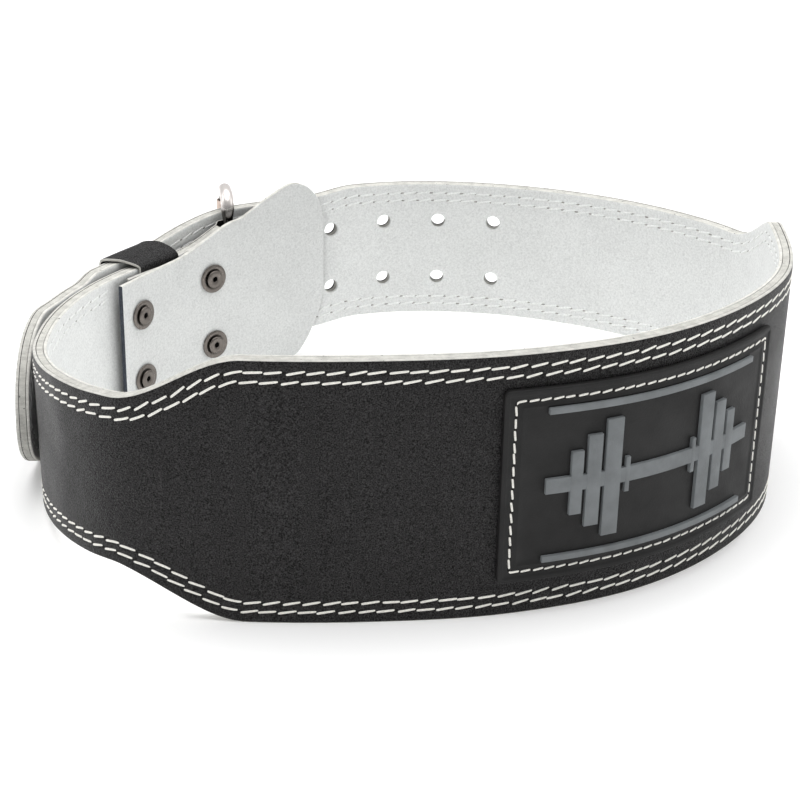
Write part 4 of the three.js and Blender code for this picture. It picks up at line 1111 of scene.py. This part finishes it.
def row_of_stitches(path, normal, pitch, length, thread, slant, rng):
    """Threads lying along a path, each end drawn down, and the needle holes between them."""
    run = walked(path)
    count = int(run[-1] / pitch)
    centre = (np.arange(count) + 0.5) * run[-1] / count + rng.normal(0, 0.04, count) * pitch
    t = 0.5 * np.sin(np.linspace(-math.pi / 2, math.pi / 2, 11))
    at = centre[:, None] + t * length * rng.normal(1, 0.03, count)[:, None]
    spot, up = read_off(at, run, path), unit(read_off(at, run, normal))
    way = unit(spot[:, -1] - spot[:, 0])
    side = np.cross(way[:, None], up)
    aside = (-t * slant * rng.normal(1, 0.3, count)[:, None])[..., None]
    rise = STITCH_LIFT * (1 - (2 * np.abs(t)) ** 10) - STITCH_SUNK - thread * 0.35
    middle = spot + side * aside + up * rise[:, None]
    angle = round_angles(8)
    radius = thread / 2 * (1 - 0.5 * (2 * np.abs(t)) ** 8)[:, None]
    ring = (middle[:, :, None] + side[:, :, None] * (radius * np.cos(angle) * 1.05)[None, ..., None]
            + up[:, :, None] * (radius * np.sin(angle) * 0.85)[None, ..., None])
    # Needle holes as thin discs on the face rather than cuts; their dark finish is the painted shade inside a hole.
    between = (centre[1:] + centre[:-1]) / 2
    spot, up = read_off(between, run, path), read_off(between, run, normal)
    way = unit(read_off(between + 1e-4, run, path) - spot)
    size = thread * 0.55 * rng.normal(1, 0.18, len(between))[:, None, None]
    spot, up, way, side = (rows[:, None] for rows in (spot, up, way, np.cross(way, up)))
    rim = (spot + up * 0.05 * MM
           + size * (way * 1.5 * np.cos(angle)[None, :, None] + side * np.sin(angle)[None, :, None]))
    low_rim = (rim - spot) * 0.9 + spot - up * 0.3 * MM
    return [swept(one) for one in ring], [swept(np.stack(pair)) for pair in zip(low_rim, rim)]


def edge_path(belt, inset, out, start):
    """Distances, set out and heights of a stitch row, along the low edge, round the tip and back."""
    distance = belt.strip_stations(1 * MM)
    distance = distance[distance >= start]
    low, high = (belt.inset(distance, edge, side, np.array((inset,)))
                 for edge, side in zip(belt.edges(distance), (1, -1)))
    d, z = (np.concatenate((up[:, 0], down[::-1][1:, 0])) for up, down in zip(low, high))
    return d, belt.strip_out(d) + out, z


def make_stitches(belt):
    """Two rows of stitches along every long edge and round the tip, on both faces, and round the patch."""
    st, p = belt.stitch, belt.patch
    rng = np.random.default_rng(11)
    flat, _ = rounded_outline(p.length - 2 * st.patch_inset, p.height - 2 * st.patch_inset, MM, 1.5 * MM)
    flat = np.vstack((flat, flat[:1]))
    seam = (PATCH_AT * belt.length + flat[:, 0], belt.half + belt.strip.fit_gap + p.ply - 0.5 * MM,
            p.middle + flat[:, 1])
    inside, outside = ([edge_path(belt, inset * MM, out, start) for inset in STITCH_INSETS] for out, start in (
        (-belt.half + 0.15 * MM, belt.heel_distance + 74 * MM), (belt.half - 0.15 * MM, belt.start + 6 * MM)))
    row = (st.pitch, st.length, st.thread, st.slant)
    patch_row = (st.patch_pitch, st.patch_pitch * 0.96, st.thread * 0.8, 0.5 * MM)
    for name, paths, facing, sizes, finishes in (
        ("stitches_outside", outside, 1, row, ("thread", "needle_hole")),
        ("stitches_inside", inside, -1, row, ("pale_thread", "pale_hole")),
        ("stitches_patch", [seam], 1, patch_row, ("thread", "needle_hole")),
    ):
        made = [row_of_stitches(belt.place(*path), belt.outward(path[0]) * facing, *sizes, rng) for path in paths]
        threads, holes = (joined(sum(parts, [])) for parts in zip(*made))
        part = joined((threads, holes))
        piece(belt, name, part, finishes, sharp=None, merged=False,
              finish_of=np.arange(len(part[1])) >= len(threads[1]))


def area_light(name, place, aim, size, watts):
    """A soft square light turned to a point."""
    data = bpy.data.lights.new(name, "AREA")
    data.shape, data.size, data.energy = "SQUARE", size, watts
    made = linked(name, data)
    made.location = place
    made.rotation_euler = (Vector(aim) - Vector(place)).to_track_quat("-Z", "Y").to_euler()


def make_stage(belt):
    """A plain pale floor, soft light from above and the sides, and the camera."""
    scene = bpy.context.scene
    floor = bpy.data.meshes.new("floor")
    floor.from_pydata([(x * FLOOR_REACH, y * FLOOR_REACH, 0) for x, y in ((-1, -1), (1, -1), (1, 1), (-1, 1))], [],
                      [(0, 1, 2, 3)])
    paint = Finish("floor_paint", belt.colours.floor, 0.9, specular=0.1)
    paint.link(paint.shades(paint.noise(3.0, 2.0), belt.colours.floor, 0.995, 1.005), "Base Color")
    paint.set(Emission_Color=(1, 1, 1, 1), Emission_Strength=0.1)
    floor.materials.append(paint.material)
    linked("floor", floor)
    scene.world = bpy.data.worlds.new("studio")
    scene.world.use_nodes = True
    tree = scene.world.node_tree
    background = tree.nodes["Background"].inputs
    background["Color"].default_value = (1, 1, 1, 1)
    depth = node_in(tree, "SeparateXYZ", {0: node_in(tree, "TexCoord", {}, "Generated")}, "Y")
    strength = node_in(tree, "MapRange", dict(enumerate((depth, -0.9, 0.3, 0.36, 0.68))))
    tree.links.new(strength, background["Strength"])
    area_light("overhead", (0, 0.15, 2.2), (0, 0.1, 0), 2.4, 56)
    area_light("left_side", (-1.7, 0.2, 0.9), (0, 0, 0.05), 1.0, 4)
    area_light("right_side", (1.7, 0.2, 0.9), (0, 0, 0.05), 1.0, 3)
    scene.view_settings.view_transform = "Standard"
    scene.view_settings.look = "None"
    camera = bpy.data.cameras.new("camera")
    camera.sensor_width, camera.lens, camera.shift_x = 36.0, CAMERA_LENS, CAMERA_SHIFT
    camera.clip_start, camera.clip_end = 0.05, 30
    scene.camera = linked("camera", camera)
    scene.camera.matrix_world = (Matrix.Translation(CAMERA_PLACE) @ Matrix.Rotation(CAMERA_TILT, 4, "X")
                                 @ Matrix.Rotation(CAMERA_ROLL, 4, "Z"))


# Add-on


def operator(maker):
    """An operator that makes one piece, or a group of like pieces, from the scene's settings."""
    def execute(self, context):
        maker(Belt(context.scene))
        return {"FINISHED"}
    name = maker.__name__.removeprefix("make_")
    members = {"bl_idname": f"belt.{name}", "bl_label": name.capitalize(), "bl_options": {"REGISTER", "UNDO"},
               "__doc__": maker.__doc__, "execute": execute}
    return type(f"BELT_OT_{name}", (bpy.types.Operator,), members)


OPERATORS = tuple(map(operator, (
    make_leather, make_core, make_lining, make_shield, make_keeper, make_frame, make_roller, make_prongs, make_rivets,
    make_patch, make_emblem, make_stitches, make_stage,
)))

class BELT_PT_maker(bpy.types.Panel):
    """Sizes, colours and makers of the belt"""

    bl_label = "Lifting Belt"
    bl_idname = "BELT_PT_maker"
    bl_space_type = "VIEW_3D"
    bl_region_type = "UI"
    bl_category = "Belt"

    def draw(self, context):
        for name, group in SETTINGS:
            box = self.layout.box()
            box.label(text=plain(name))
            for key in group.__annotations__:
                box.prop(getattr(context.scene, name), key)
        for made in OPERATORS:
            self.layout.operator(made.bl_idname)


def register():
    for name, group in SETTINGS:
        bpy.utils.register_class(group)
        setattr(bpy.types.Scene, name, PointerProperty(type=group))
    for made in (*OPERATORS, BELT_PT_maker):
        bpy.utils.register_class(made)


def unregister():
    for made in (BELT_PT_maker, *reversed(OPERATORS)):
        bpy.utils.unregister_class(made)
    for name, group in reversed(SETTINGS):
        delattr(bpy.types.Scene, name)
        bpy.utils.unregister_class(group)


def main():
    """Makes every piece and the stage in order, then writes the CAD's box and the dressed model's box."""
    register()
    for made in OPERATORS:
        group, name = made.bl_idname.split(".")
        getattr(getattr(bpy.ops, group), name)()


if __name__ == "__main__":
    main()
